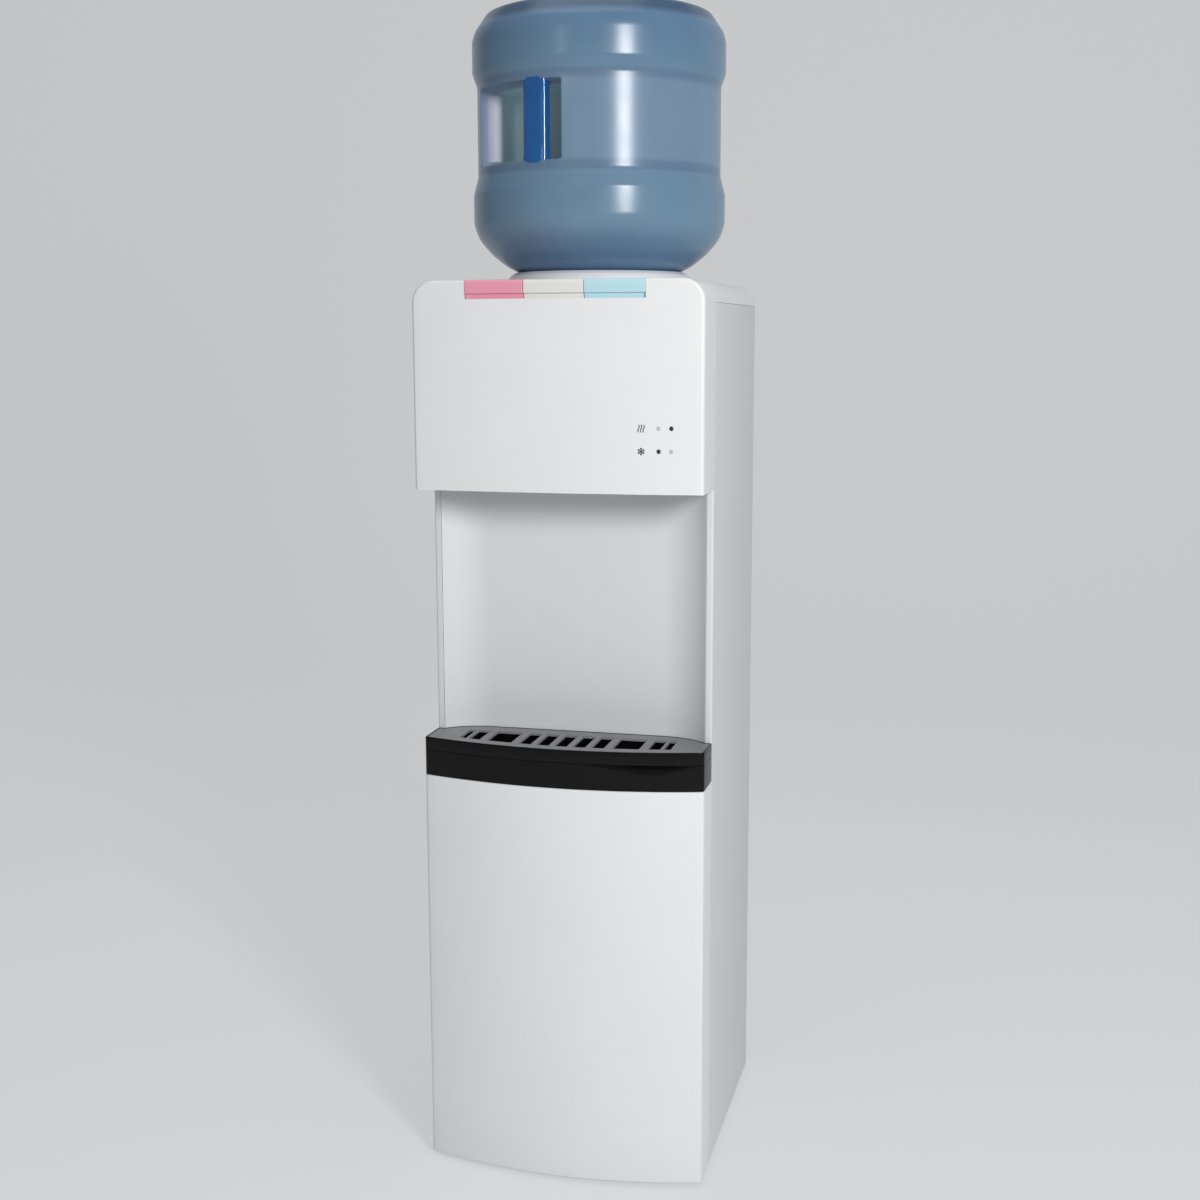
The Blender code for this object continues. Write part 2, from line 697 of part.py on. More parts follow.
def tray_band():
    """The fixed black band that the drip tray sits in: a low wall on a floor."""
    outline = bowed_plate(FRONT_BOW, 0.0, NICHE_HALF, NICHE_BACK)
    band = prism("tray_band", outline, TRAY_BOTTOM + GAP, LIP_Z - GAP, "black_trim")
    hollow = prism(
        "cutter_band_hollow",
        bowed_path(FRONT_BOW, WALL, NICHE_BACK + OVERRUN),
        BAND_FLOOR_TOP,
        LIP_Z + OVERRUN,
        "black_trim",
    )
    cut(band, hollow)


def tray_outline(inset):
    """The tray's top in plan: the bowed front, and the niche's curve at the back."""
    seam = FLANGE_Y - GAP - inset
    limit = NICHE_HALF - inset
    back = [(x, y - TRAY_CLEARANCE - inset) for x, y in niche_curve(0.0) if abs(x) < limit - TRAY_CLEARANCE]
    return [*bowed_path(FRONT_BOW, inset, seam), (limit, seam), *reversed(back), (-limit, seam)]


def basin_outline(inset):
    """The basin in plan: the bowed front, and a narrower part that reaches back into the niche."""
    seam = FLANGE_Y - WALL - inset
    half = BASIN_BACK_HALF - inset
    back = seam + BASIN_BACK_RUN
    front = bowed_path(FRONT_BOW, WALL + TRAY_CLEARANCE + inset, seam)
    return [*front, (half, seam), (half, back), (-half, back), (-half, seam)]


def drip_tray():
    """The lift-out tray: a lip that caps the band, and a basin that hangs inside it."""
    tray = prism("drip_tray", tray_outline(0.0), LIP_Z, TRAY_TOP, "black_trim")
    basin_low = BAND_FLOOR_TOP + GAP
    join(tray, prism("joined_basin", basin_outline(0.0), basin_low, LIP_Z + WALL, "black_trim"))
    hollow = prism("cutter_basin", basin_outline(WALL), basin_low + WALL, TRAY_TOP + OVERRUN, "black_trim")
    rebate_low = TRAY_TOP - GRILLE_THICKNESS - GAP
    rebate = prism("cutter_rebate", tray_outline(GRILLE_EDGE), rebate_low, TRAY_TOP + OVERRUN, "black_trim")
    cut(tray, hollow, rebate)


def drip_grille():
    """The slotted plate on the tray."""
    top = TRAY_TOP - GAP
    low = TRAY_TOP - GRILLE_THICKNESS
    grille = prism("drip_grille", tray_outline(GRILLE_EDGE + GAP), low, top, "grey_grille")
    for i, (middle, width) in enumerate(GRILLE_SLOT_SHARES):
        x = middle * HALF
        half_width = width * HALF / 2
        y_front = bow_y(x, FRONT_BOW) + GRILLE_MARGIN
        y_back = FLANGE_Y
        cut(
            grille,
            box(
                f"cutter_slot_{i}",
                (x - half_width, y_front, low - OVERRUN),
                (x + half_width, y_back, top + OVERRUN),
                "grey_grille",
            ),
        )


def base_and_feet():
    """The steel base pan and its four glides."""
    behind = FLANGE_Y + SHEET + GAP
    seam = FLANGE_Y - GAP
    rear = REAR - SHEET - GAP
    right = [(NICHE_HALF, seam), (NICHE_HALF, behind), (INNER_HALF, behind), (INNER_HALF, rear)]
    left = [(-x, y) for x, y in reversed(right)]
    outline = bowed_path(FRONT_BOW, WALL + GAP, seam) + right + left
    prism("base_pan", outline, FOOT_HEIGHT, PAN_TOP, "zinc_steel")
    profile = [
        (0, 0),
        (FOOT_RADIUS - SHEET, 0),
        (FOOT_RADIUS, SHEET),
        (FOOT_RADIUS, FOOT_HEIGHT - GAP),
        (0, FOOT_HEIGHT - GAP),
    ]
    for across, side in (("left", -1), ("right", 1)):
        for along, y in (("front", FLANGE_Y - FOOT_RADIUS), ("rear", REAR - FOOT_INSET)):
            turned(f"foot_{along}_{across}", profile, (side * (HALF - FOOT_INSET), y, 0), "black_rubber")


def back_panel():
    """The sheet back, set in from the sides' rear edge to leave room for the condenser."""
    panel = box(
        "back_panel",
        (-INNER_HALF, BACK_Y - SHEET, BACK_PANEL_BOTTOM),
        (INNER_HALF, BACK_Y, SHOULDER_Z - GAP),
        "zinc_steel",
    )
    drain = (DRAIN_X, BACK_Y, DRAIN_Z)
    cut(panel, rod("cutter_drain", drain, DRAIN_RADIUS + GAP, -OVERRUN, OVERRUN, "zinc_steel", axis="Y"))
    for i, x in enumerate(ROCKER_XS):
        reach_x = ROCKER_HALF_WIDTH + ROCKER_CLEARANCE
        reach_z = ROCKER_HALF_HEIGHT + ROCKER_CLEARANCE
        low = (x - reach_x, BACK_Y - OVERRUN, PLATE_MIDDLE_Z - reach_z)
        high = (x + reach_x, BACK_Y + OVERRUN, PLATE_MIDDLE_Z + reach_z)
        cut(panel, box(f"cutter_back_rocker_{i}", low, high, "zinc_steel"))
    reach_x = INLET_HALF_WIDTH + INLET_WALL + GAP
    reach_z = INLET_HALF_HEIGHT + INLET_WALL + GAP
    low = (INLET_X - reach_x, BACK_Y - OVERRUN, PLATE_MIDDLE_Z - reach_z)
    high = (INLET_X + reach_x, BACK_Y + OVERRUN, PLATE_MIDDLE_Z + reach_z)
    cut(panel, box("cutter_back_inlet", low, high, "zinc_steel"))


def bottle_profile():
    """The bottle's outside as it stands in the cooler, from the neck's end up to its rim."""
    seat = COLLAR_TOP + GAP
    neck = [
        (NECK_RADIUS, NECK_END),
        (NECK_RADIUS, seat - THREAD_END_DROP),
        (NECK_RADIUS + 2 * BOTTLE_WALL, seat - CONE_START_DROP),
        (CONE_BEND_RADIUS, seat - CONE_BEND_DROP),
        (SEAT_RADIUS, seat),
    ]
    return neck + [(across * BOTTLE_RADIUS, seat + up * (BOTTLE_TOP - seat)) for across, up in BODY_SHARES]


def offset_profile(profile, distance):
    """A profile moved square to itself by a distance, to its left as it is listed."""
    moved = []
    for i, (radius, height) in enumerate(profile):
        here = Vector((radius, height))
        before = here - Vector(profile[i - 1]) if i else Vector(profile[1]) - here
        after = Vector(profile[i + 1]) - here if i + 1 < len(profile) else before
        normal_before = Vector((-before.y, before.x)).normalized()
        normal_after = Vector((-after.y, after.x)).normalized()
        normal = (normal_before + normal_after).normalized()
        point = here + normal * (distance / max(normal.dot(normal_after), SHARPEST_MITRE))
        moved.append((0 if radius == 0 else point.x, point.y))
    return moved


def sector(inner, outer, start, end, steps):
    """A ring sector in plan round the bottle's axis; azimuths are counted from -Y towards +X."""
    turns = [start + (end - start) * i / steps for i in range(steps + 1)]
    arc_out = [(outer * math.sin(t), BOTTLE_Y - outer * math.cos(t)) for t in turns]
    arc_in = [(inner * math.sin(t), BOTTLE_Y - inner * math.cos(t)) for t in reversed(turns)]
    return arc_out + arc_in


def bottle():
    """The inverted bottle: a thin shell with an open neck and a pocket crossed by an upright handle."""
    outside = bottle_profile()
    inside = offset_profile(outside, BOTTLE_WALL)
    inside[0] = (NECK_RADIUS - BOTTLE_WALL, NECK_END)
    centre = (0, BOTTLE_Y, 0)
    shell = turned("bottle", outside + list(reversed(inside)), centre, "blue_bottle", BOTTLE_SIDES)
    filled = turned("guide_bottle_outside", [(0, NECK_END), *outside], centre, "blue_bottle", BOTTLE_SIDES)

    middle = CABINET_TOP + HANDLE_MIDDLE_RISE
    low = middle - HANDLE_HEIGHT / 2
    high = middle + HANDLE_HEIGHT / 2
    floor = WAIST_RADIUS - POCKET_DEPTH
    grown = BOTTLE_WALL / floor
    beyond = BOTTLE_RADIUS + OVERRUN
    tub = prism(
        "joined_pocket",
        sector(floor - BOTTLE_WALL, beyond, POCKET_START - grown, POCKET_END + grown, 2 * ARC_STEPS),
        low - BOTTLE_WALL,
        high + BOTTLE_WALL,
        "blue_bottle",
    )
    combine(tub, filled, "INTERSECT")
    void = prism(
        "cutter_pocket",
        sector(floor, beyond, POCKET_START, POCKET_END, 2 * ARC_STEPS),
        low,
        high,
        "blue_bottle",
    )
    half_turn = HANDLE_WIDTH / WAIST_RADIUS / 2
    grip = prism(
        "joined_handle",
        sector(
            WAIST_RADIUS - HANDLE_THICKNESS,
            WAIST_RADIUS - BOTTLE_WALL / 4,
            HANDLE_AZIMUTH - half_turn,
            HANDLE_AZIMUTH + half_turn,
            ARC_STEPS,
        ),
        low - BOTTLE_WALL / 2,
        high + BOTTLE_WALL / 2,
        "blue_bottle",
    )
    join(shell, tub)
    cut(shell, void)
    join(shell, grip)
    pivot(shell, (0, BOTTLE_Y, CABINET_TOP))

    cap_top = NECK_END - GAP - CAP_WALL + CAP_HEIGHT
    bore = NECK_RADIUS + GAP
    profile = [
        (bore, cap_top),
        (bore, NECK_END - GAP),
        (PROBE_RADIUS + 2 * GAP, NECK_END - GAP),
        (PROBE_RADIUS + 2 * GAP, NECK_END - GAP - CAP_WALL),
        (bore + CAP_WALL, NECK_END - GAP - CAP_WALL),
        (bore + CAP_WALL, cap_top),
    ]
    pivot(turned("bottle_cap", profile, centre, "white_cap", TANK_SIDES), (0, BOTTLE_Y, CABINET_TOP))


def collar_and_probe():
    """The ring and funnel that carry the bottle, and the hollow probe that opens its cap."""
    outside = bottle_profile()
    seat_low, seat_high = offset_profile(outside, -COLLAR_SEAT_GAP)[3:5]
    cone_high = (seat_high[0], COLLAR_TOP)
    slope = (seat_high[1] - seat_low[1]) / (seat_high[0] - seat_low[0])
    neck_slope = (outside[3][1] - outside[2][1]) / (outside[3][0] - outside[2][0])
    well_top = seat_low[1] - (seat_low[0] - WELL_RADIUS) * neck_slope
    spigot_z = COLLAR_TOP - (seat_high[0] - SPIGOT_RADIUS) * slope - WALL
    profile = [
        cone_high,
        seat_low,
        (WELL_RADIUS, well_top),
        (WELL_RADIUS, WELL_FLOOR),
        (PROBE_RADIUS + GAP, WELL_FLOOR),
        (PROBE_RADIUS + GAP, WELL_FLOOR - WALL),
        (WELL_RADIUS + WALL, WELL_FLOOR - WALL),
        (WELL_RADIUS + WALL, well_top - WALL),
        (seat_low[0], seat_low[1] - COLLAR_UNDERCUT),
        (SPIGOT_RADIUS, min(spigot_z, CABINET_TOP - WALL)),
        (SPIGOT_RADIUS, CABINET_TOP + GAP),
        (COLLAR_RADIUS, CABINET_TOP + GAP),
    ]
    for into, up in COLLAR_EDGE_SHARES:
        profile.append((COLLAR_RADIUS - into * COLLAR_HEIGHT, CABINET_TOP + up * COLLAR_HEIGHT))
    profile.append((COLLAR_TOP_RADIUS, COLLAR_TOP))
    turned("bottle_collar", profile, (0, BOTTLE_Y, 0), "white_shell", BOTTLE_SIDES)
    flange_low = WELL_FLOOR + GAP
    profile = [
        (PROBE_BORE, WELL_FLOOR - PROBE_DROP),
        (PROBE_RADIUS, WELL_FLOOR - PROBE_DROP),
        (PROBE_RADIUS, flange_low),
        (PROBE_FLANGE_RADIUS, flange_low),
        (PROBE_FLANGE_RADIUS, flange_low + PROBE_FLANGE),
        (PROBE_RADIUS, flange_low + PROBE_FLANGE),
        (PROBE_RADIUS, WELL_FLOOR + PROBE_RISE - PROBE_RADIUS / 2),
        (PROBE_BORE + GAP, WELL_FLOOR + PROBE_RISE),
        (PROBE_BORE, WELL_FLOOR + PROBE_RISE),
    ]
    turned("feed_probe", profile, (0, BOTTLE_Y, 0), "grey_moulding")


def button_frame():
    """The shelf that guides the push rods and carries the buttons' axle in four ears."""
    outline = bowed_path(HEAD_BOW, WALL + GAP, FLANGE_Y - GAP)
    shelf = prism("button_frame", outline, FRAME_Z - WALL, FRAME_Z, "grey_moulding")
    outer = BUTTONS_HALF - EAR_WIDTH
    inner = BUTTON_PITCH / 2
    for i, x in enumerate((-outer, -inner, inner, outer)):
        low = (x - EAR_WIDTH / 2, AXLE_Y - EAR_DEPTH / 2, FRAME_Z - WALL / 2)
        high = (x + EAR_WIDTH / 2, AXLE_Y + EAR_DEPTH / 2, AXLE_Z + KNUCKLE_RADIUS)
        join(shelf, box(f"joined_ear_{i}", low, high, "grey_moulding"))
    bore = rod("cutter_axle", (0, AXLE_Y, AXLE_Z), AXLE_RADIUS + GAP, -HALF, HALF, "grey_moulding", axis="X")
    cut(shelf, bore)
    for i in (-1, 0, 1):
        centre = (i * BUTTON_PITCH, ROD_Y, FRAME_Z)
        hole = rod(f"cutter_rod_{i + 1}", centre, ROD_RADIUS + GAP, -OVERRUN, OVERRUN, "grey_moulding")
        cut(shelf, hole)
    length = BUTTONS_HALF - EAR_WIDTH / 2
    rod("button_axle", (0, AXLE_Y, AXLE_Z), AXLE_RADIUS, -length, length, "bright_steel", axis="X")


def button_plan(left, right, front_inset, back):
    """A button's plan: the bowed front between its sides, and a straight back."""
    xs = [left + (right - left) * i / ARC_STEPS for i in range(ARC_STEPS + 1)]
    return [(x, bow_y(x, HEAD_BOW, front_inset)) for x in xs] + [(right, back), (left, back)]


def buttons():
    """Three hinged buttons in a row, each with a set-back skirt, two knuckles and a nose on its rod."""
    back = FLANGE_Y - BUTTON_REAR_CLEARANCE
    face_low = NOTCH_Z + BUTTON_STEP
    skirt_low = NOTCH_Z - SKIRT_OVERLAP
    slots = (("hot", "pink_button"), ("room", "white_button"), ("cold", "blue_button"))
    for i, (name, slot) in enumerate(slots, -1):
        left = (i - 0.5) * BUTTON_PITCH + BUTTON_SEAM / 2
        right = (i + 0.5) * BUTTON_PITCH - BUTTON_SEAM / 2
        button = prism(f"{name}_button", button_plan(left, right, 0.0, back), face_low, CABINET_TOP, slot)
        hollow = prism(
            f"cutter_{name}_hollow",
            button_plan(left - OVERRUN, right + OVERRUN, BUTTON_FACE, back + OVERRUN),
            face_low - OVERRUN,
            CABINET_TOP - WALL,
            slot,
        )
        skirt_plan = button_plan(left, right, SKIRT_SETBACK, FRONT)[:-2]
        skirt_plan += [(x, y + SKIRT_THICKNESS) for x, y in reversed(skirt_plan)]
        skirt = prism(f"joined_{name}_skirt", skirt_plan, skirt_low, CABINET_TOP - WALL / 2, slot)
        cut(button, hollow)
        join(button, skirt)
        for j, x in enumerate((left + KNUCKLE_INSET, right - KNUCKLE_INSET)):
            low = (x - KNUCKLE_WIDTH / 2, AXLE_Y - KNUCKLE_RADIUS, AXLE_Z - KNUCKLE_RADIUS)
            high = (x + KNUCKLE_WIDTH / 2, AXLE_Y + KNUCKLE_RADIUS, CABINET_TOP - WALL / 2)
            join(button, box(f"joined_{name}_knuckle_{j}", low, high, slot))
        nose_centre = (i * BUTTON_PITCH, ROD_Y, CABINET_TOP)
        nose = rod(f"joined_{name}_nose", nose_centre, NOSE_RADIUS, -NOSE_DROP, -WALL / 2, slot, STUD_SIDES)
        join(button, nose)
        bore_centre = (i * BUTTON_PITCH, AXLE_Y, AXLE_Z)
        reach = BUTTON_PITCH / 2 + OVERRUN
        cut(button, rod(f"cutter_{name}_bore", bore_centre, AXLE_RADIUS + GAP, -reach, reach, slot, axis="X"))
        pivot(button, (i * BUTTON_PITCH, AXLE_Y, AXLE_Z))


def helix(centre, radius, low, pitch, turns, steps):
    """The points of a coil: a circle climbing by its pitch each turn."""
    points = []
    for i in range(turns * steps + 1):
        turn = 2 * math.pi * i / steps
        climb = low + pitch * i / steps
        points.append((centre[0] + radius * math.cos(turn), centre[1] + radius * math.sin(turn), climb))
    return points


def tap_bar(name, centre, radius, low, high, sides, axis="Z"):
    """One round part of a tap."""
    return rod(name, centre, radius, low, high, "spout_white", sides, axis)


def taps_and_rods():
    """For each button a tap on the head floor, the rod that opens it and the rod's return spring."""
    flange_low = HEAD_FLOOR_Z + WALL + GAP
    flange_high = flange_low + TAP_FLANGE
    tip = HEAD_BOTTOM + SPOUT_TIP_RISE
    stem_top = TAP_Z + STEM_HEIGHT
    collar_low = FRAME_Z + ROD_COLLAR_RISE
    for i, name in enumerate(("hot", "room", "cold"), -1):
        x = i * BUTTON_PITCH
        spout = (x, FRONT + SPOUT_SETBACK, 0)
        stem = (x, ROD_Y, 0)
        rear = FRONT + TAP_REAR
        body = (x, 0, TAP_Z)
        barb_end = rear + BARB_LENGTH
        tap = tap_bar(f"{name}_tap", body, TAP_RADIUS, FRONT + TAP_FRONT, rear, ROUND_SIDES, "Y")
        join(
            tap,
            tap_bar(f"joined_{name}_barb", body, BARB_RADIUS, rear - WALL, barb_end, STUD_SIDES, "Y"),
            tap_bar(f"joined_{name}_flange", spout, TAP_FLANGE_RADIUS, flange_low, flange_high, ROUND_SIDES),
            tap_bar(f"joined_{name}_spout", spout, SPOUT_RADIUS, tip, TAP_Z + TAP_RADIUS / 4, SPOUT_SIDES),
            tap_bar(f"joined_{name}_stem", stem, STEM_RADIUS, TAP_Z - TAP_RADIUS / 5, stem_top, SMALL_SIDES),
        )
        outlet_high = TAP_Z - TAP_RADIUS / 3
        outlet = tap_bar(f"cutter_{name}_outlet", spout, SPOUT_BORE, tip - OVERRUN, outlet_high, SMALL_SIDES)
        bore_low = stem_top - STEM_BORE_DEPTH
        bore_high = stem_top + OVERRUN
        bore = tap_bar(f"cutter_{name}_stem", stem, ROD_RADIUS + GAP, bore_low, bore_high, SMALL_SIDES)
        cut(tap, outlet, bore)
        profile = [
            (0, stem_top - ROD_ENGAGEMENT),
            (ROD_RADIUS, stem_top - ROD_ENGAGEMENT),
            (ROD_RADIUS, collar_low),
            (ROD_COLLAR_RADIUS, collar_low),
            (ROD_COLLAR_RADIUS, collar_low + ROD_COLLAR),
            (ROD_RADIUS, collar_low + ROD_COLLAR),
            (ROD_RADIUS, ROD_TOP - ROD_COLLAR),
            (ROD_HEAD_RADIUS, ROD_TOP - ROD_COLLAR),
            (ROD_HEAD_RADIUS, ROD_TOP),
            (0, ROD_TOP),
        ]
        push_rod = turned(f"{name}_push_rod", profile, stem, "spout_white", ROD_SIDES)
        pivot(push_rod, (x, ROD_Y, ROD_TOP))
        low = FRAME_Z + SPRING_WIRE + GAP
        pitch = (collar_low - SPRING_WIRE - GAP - low) / SPRING_TURNS
        route = helix((x, ROD_Y), SPRING_RADIUS, low, pitch, SPRING_TURNS, SPRING_STEPS)
        pipe(f"{name}_spring", route, SPRING_WIRE, "bright_steel", WIRE_SIDES)


def indicator_lights():
    """Four round light guides through the head's front, and the small board behind them."""
    tails = []
    for name, (x, z) in zip(("lower_left", "lower_right", "upper_left", "upper_right"), light_places()):
        face = bow_y(x, HEAD_BOW) - LIGHT_PROUD
        tail = bow_y(HALF - LIGHT_COLUMN_INSETS[-1], HEAD_BOW) + LIGHT_LENGTH
        tails.append((x, z, tail))
        rod(f"{name}_light", (x, 0, z), LIGHT_RADIUS, face, tail, "light_lens", SMALL_SIDES, "Y")
    xs = [x for x, _, _ in tails]
    zs = [z for _, z, _ in tails]
    front = tails[0][2] + GAP
    low = (min(xs) - BOARD_MARGIN, front, HEAD_FLOOR_Z + WALL + GAP)
    high = (max(xs) + BOARD_MARGIN, front + BOARD_THICKNESS, max(zs) + BOARD_MARGIN)
    box("indicator_board", low, high, "green_board")


def shelf(name, top, low_y, high_y):
    """A steel shelf across the cabinet, between the side panels."""
    return box(name, (-INNER_HALF, low_y, top - SHELF_THICKNESS), (INNER_HALF, high_y, top), "zinc_steel")


def cold_tank():
    """The chilled tank under the bottle, in its foam block, wound with the evaporator."""
    centre = (0, TANK_Y, 0)
    top = COLD_LID_Z - LID_THICKNESS - GAP
    inner = TANK_RADIUS - TANK_WALL
    floor = COLD_TANK_BOTTOM + TANK_WALL
    profile = [
        (0, COLD_TANK_BOTTOM),
        (TANK_RADIUS, COLD_TANK_BOTTOM),
        (TANK_RADIUS, top),
        (inner, top),
        (inner, floor),
        (0, floor),
    ]
    turned("cold_tank", profile, centre, "stainless", TANK_SIDES)
    low = COLD_LID_Z - LID_THICKNESS
    lid = rod("cold_tank_lid", centre, TANK_RADIUS + LID_OVERHANG, low, COLD_LID_Z, "white_cap", TANK_SIDES)
    probe = (0, BOTTLE_Y, COLD_LID_Z)
    cut(lid, rod("cutter_probe", probe, PROBE_RADIUS + GAP, -OVERRUN, OVERRUN, "white_cap"))
    foam_low = COLD_SHELF_Z + GAP
    foam_high = top - GAP
    corners = ((-FOAM_HALF, FOAM_FRONT, foam_low), (FOAM_HALF, FOAM_REAR, foam_high))
    foam = box("cold_tank_insulation", *corners, "white_foam")
    bore_low = foam_low + FOAM_FLOOR
    cut(foam, rod("cutter_foam", centre, FOAM_BORE, bore_low, top + OVERRUN, "white_foam", TANK_SIDES))
    route = helix(centre, COIL_RADIUS, COLD_TANK_BOTTOM + COIL_RISE, COIL_PITCH, COIL_TURNS, COIL_STEPS)
    pipe("evaporator_coil", route, COIL_TUBE, "copper", TUBE_SIDES)
    shelf("cold_tank_shelf", COLD_SHELF_Z, FOAM_FRONT - SHELF_MARGIN, FOAM_REAR + SHELF_MARGIN)


def hot_tank():
    """The heated tank in its jacket, with the heating element from below and a thermostat at its side."""
    centre = (0, HOT_TANK_Y, 0)
    low = HOT_TANK_BOTTOM
    high = low + HOT_TANK_HEIGHT
    inner = HOT_TANK_RADIUS - TANK_WALL
    profile = [
        (HEATER_HOLE, low),
        (HOT_TANK_RADIUS, low),
        (HOT_TANK_RADIUS, high),
        (0, high),
        (0, high - TANK_WALL),
        (inner, high - TANK_WALL),
        (inner, low + TANK_WALL),
        (HEATER_HOLE, low + TANK_WALL),
    ]
    turned("hot_tank", profile, centre, "stainless", TANK_SIDES)
    element = rod(
        "heating_element", centre, HEATER_FLANGE_RADIUS, low - GAP - HEATER_FLANGE, low - GAP, "bright_steel"
    )
    for i, side in enumerate((-1, 1)):
        leg_centre = (side * 1.5 * HEATER_ROD, HOT_TANK_Y, 0)
        leg_low = low - HEATER_FLANGE
        leg_high = low + HEATER_HEIGHT
        leg = rod(f"joined_leg_{i}", leg_centre, HEATER_ROD, leg_low, leg_high, "bright_steel", STUD_SIDES)
        join(element, leg)
    jacket_in = HOT_TANK_RADIUS + GAP
    jacket_out = HOT_TANK_RADIUS + JACKET_THICKNESS
    profile = [(jacket_in, low), (jacket_out, low), (jacket_out, high), (jacket_in, high)]
    jacket = turned("hot_tank_jacket", profile, centre, "white_foam", TANK_SIDES)
    slot_low = (0, HOT_TANK_Y - JACKET_SLOT / 2, low - OVERRUN)
    slot_high = (jacket_out + OVERRUN, HOT_TANK_Y + JACKET_SLOT / 2, high + OVERRUN)
    cut(jacket, box("cutter_jacket_slot", slot_low, slot_high, "white_foam"))
    face = HOT_TANK_RADIUS + GAP
    rod(
        "hot_thermostat",
        (0, HOT_TANK_Y, low + THERMOSTAT_RISE),
        THERMOSTAT_RADIUS,
        face,
        face + THERMOSTAT_DEPTH,
        "black_enamel",
        axis="X",
    )
    plate = shelf("hot_tank_shelf", HOT_SHELF_Z, NICHE_BACK + GAP, ROOM_BACK - GAP)
    drain = (DRAIN_START_X, HOT_TANK_Y, 0)
    holes = (("heater", centre, HEATER_FLANGE_RADIUS + 2 * GAP), ("shelf_drain", drain, DRAIN_RADIUS + GAP))
    for name, place, radius in holes:
        cut(plate, rod(f"cutter_{name}", place, radius, low - OVERRUN, low + OVERRUN, "zinc_steel"))


def hoses():
    """The silicone hoses between tanks and taps, each on its own route, and the drain with its cap."""
    barb_end = FRONT + TAP_REAR + BARB_LENGTH + GAP
    foam_front = FOAM_FRONT - GAP
    foam_rear = FOAM_REAR + GAP
    channel = NICHE_BACK + HOSE_RADIUS + HOSE_CLEARANCE
    cold_x = BUTTON_PITCH
    cold = [
        (cold_x, barb_end, TAP_Z),
        (cold_x, barb_end + HOSE_LEAD, TAP_Z),
        (cold_x, foam_front - HOSE_LEAD, TAP_Z - COLD_OUTLET_DROP),
        (cold_x, foam_front, TAP_Z - COLD_OUTLET_DROP),
    ]
    pipe("cold_hose", smooth_route(cold), HOSE_RADIUS, "silicone")
    room = [
        (0, barb_end, TAP_Z),
        (0, barb_end + HOSE_LEAD, TAP_Z),
        (0, foam_front - HOSE_LEAD, TAP_Z + ROOM_OUTLET_RISE),
        (0, foam_front, TAP_Z + ROOM_OUTLET_RISE),
    ]
    pipe("room_hose", smooth_route(room), HOSE_RADIUS, "silicone")
    hot_top = HOT_TANK_BOTTOM + HOT_TANK_HEIGHT + GAP
    hot = [
        (-cold_x, barb_end, TAP_Z),
        (-cold_x, barb_end + HOSE_LEAD, TAP_Z),
        (-cold_x, channel, TAP_Z - 13 * MM),
        (-cold_x, channel, TAP_Z - 36 * MM),
        (-cold_x + 2 * MM, channel + 6 * MM, TAP_Z - 68 * MM),
        (-cold_x + 20 * MM, channel + 42 * MM, hot_top + 32 * MM),
        (-cold_x + 48 * MM, HOT_TANK_Y - 18 * MM, hot_top + 26 * MM),
        (0, HOT_TANK_Y, hot_top + 14 * MM),
        (0, HOT_TANK_Y, hot_top),
    ]
    pipe("hot_hose", smooth_route(hot), HOSE_RADIUS, "silicone")
    jacket_rear = HOT_TANK_Y + HOT_TANK_RADIUS + JACKET_THICKNESS + GAP
    feed_z = COLD_TANK_BOTTOM + FEED_RISE
    inlet_z = HOT_TANK_BOTTOM + FEED_INLET_RISE
    feed = [
        (FEED_X, foam_rear, feed_z),
        (FEED_X, foam_rear + 6 * MM, feed_z),
        (FEED_X, foam_rear + 13 * MM, feed_z - 25 * MM),
        (FEED_X - 5 * MM, foam_rear + 13 * MM, feed_z - 80 * MM),
        (FEED_X - 30 * MM, foam_rear + 13 * MM, inlet_z + 40 * MM),
        (3 * MM, (jacket_rear + ROOM_BACK) / 2, inlet_z + 6 * MM),
        (0, jacket_rear + 7 * MM, inlet_z),
        (0, jacket_rear, inlet_z),
    ]
    pipe("hot_feed_hose", smooth_route(feed), HOSE_RADIUS, "silicone")
    tip = BACK_Y + DRAIN_TIP_PROUD
    drain = [
        (DRAIN_START_X, HOT_TANK_Y, HOT_TANK_BOTTOM - GAP),
        (DRAIN_START_X, HOT_TANK_Y, HOT_TANK_BOTTOM - 14 * MM),
        (DRAIN_START_X + 6 * MM, HOT_TANK_Y + 6 * MM, HOT_TANK_BOTTOM - 50 * MM),
        (DRAIN_X - 12 * MM, BACK_Y - 60 * MM, DRAIN_Z + 50 * MM),
        (DRAIN_X, BACK_Y - 30 * MM, DRAIN_Z + 4 * MM),
        (DRAIN_X, BACK_Y - 14 * MM, DRAIN_Z),
        (DRAIN_X, BACK_Y, DRAIN_Z),
        (DRAIN_X, tip, DRAIN_Z),
    ]
    pipe("drain_pipe", smooth_route(drain), DRAIN_RADIUS, "spout_white")
    bore = DRAIN_RADIUS + GAP
    low = BACK_Y + GAP
    profile = [
        (bore, low),
        (DRAIN_CAP_RADIUS, low),
        (DRAIN_CAP_RADIUS, low + DRAIN_CAP_LENGTH),
        (0, low + DRAIN_CAP_LENGTH),
        (0, low + DRAIN_CAP_LENGTH - DRAIN_CAP_END),
        (bore, low + DRAIN_CAP_LENGTH - DRAIN_CAP_END),
    ]
    cap = turned("drain_cap", profile, (DRAIN_X, 0, DRAIN_Z), "white_cap", axis="Y")
    pivot(cap, (DRAIN_X, BACK_Y, DRAIN_Z))


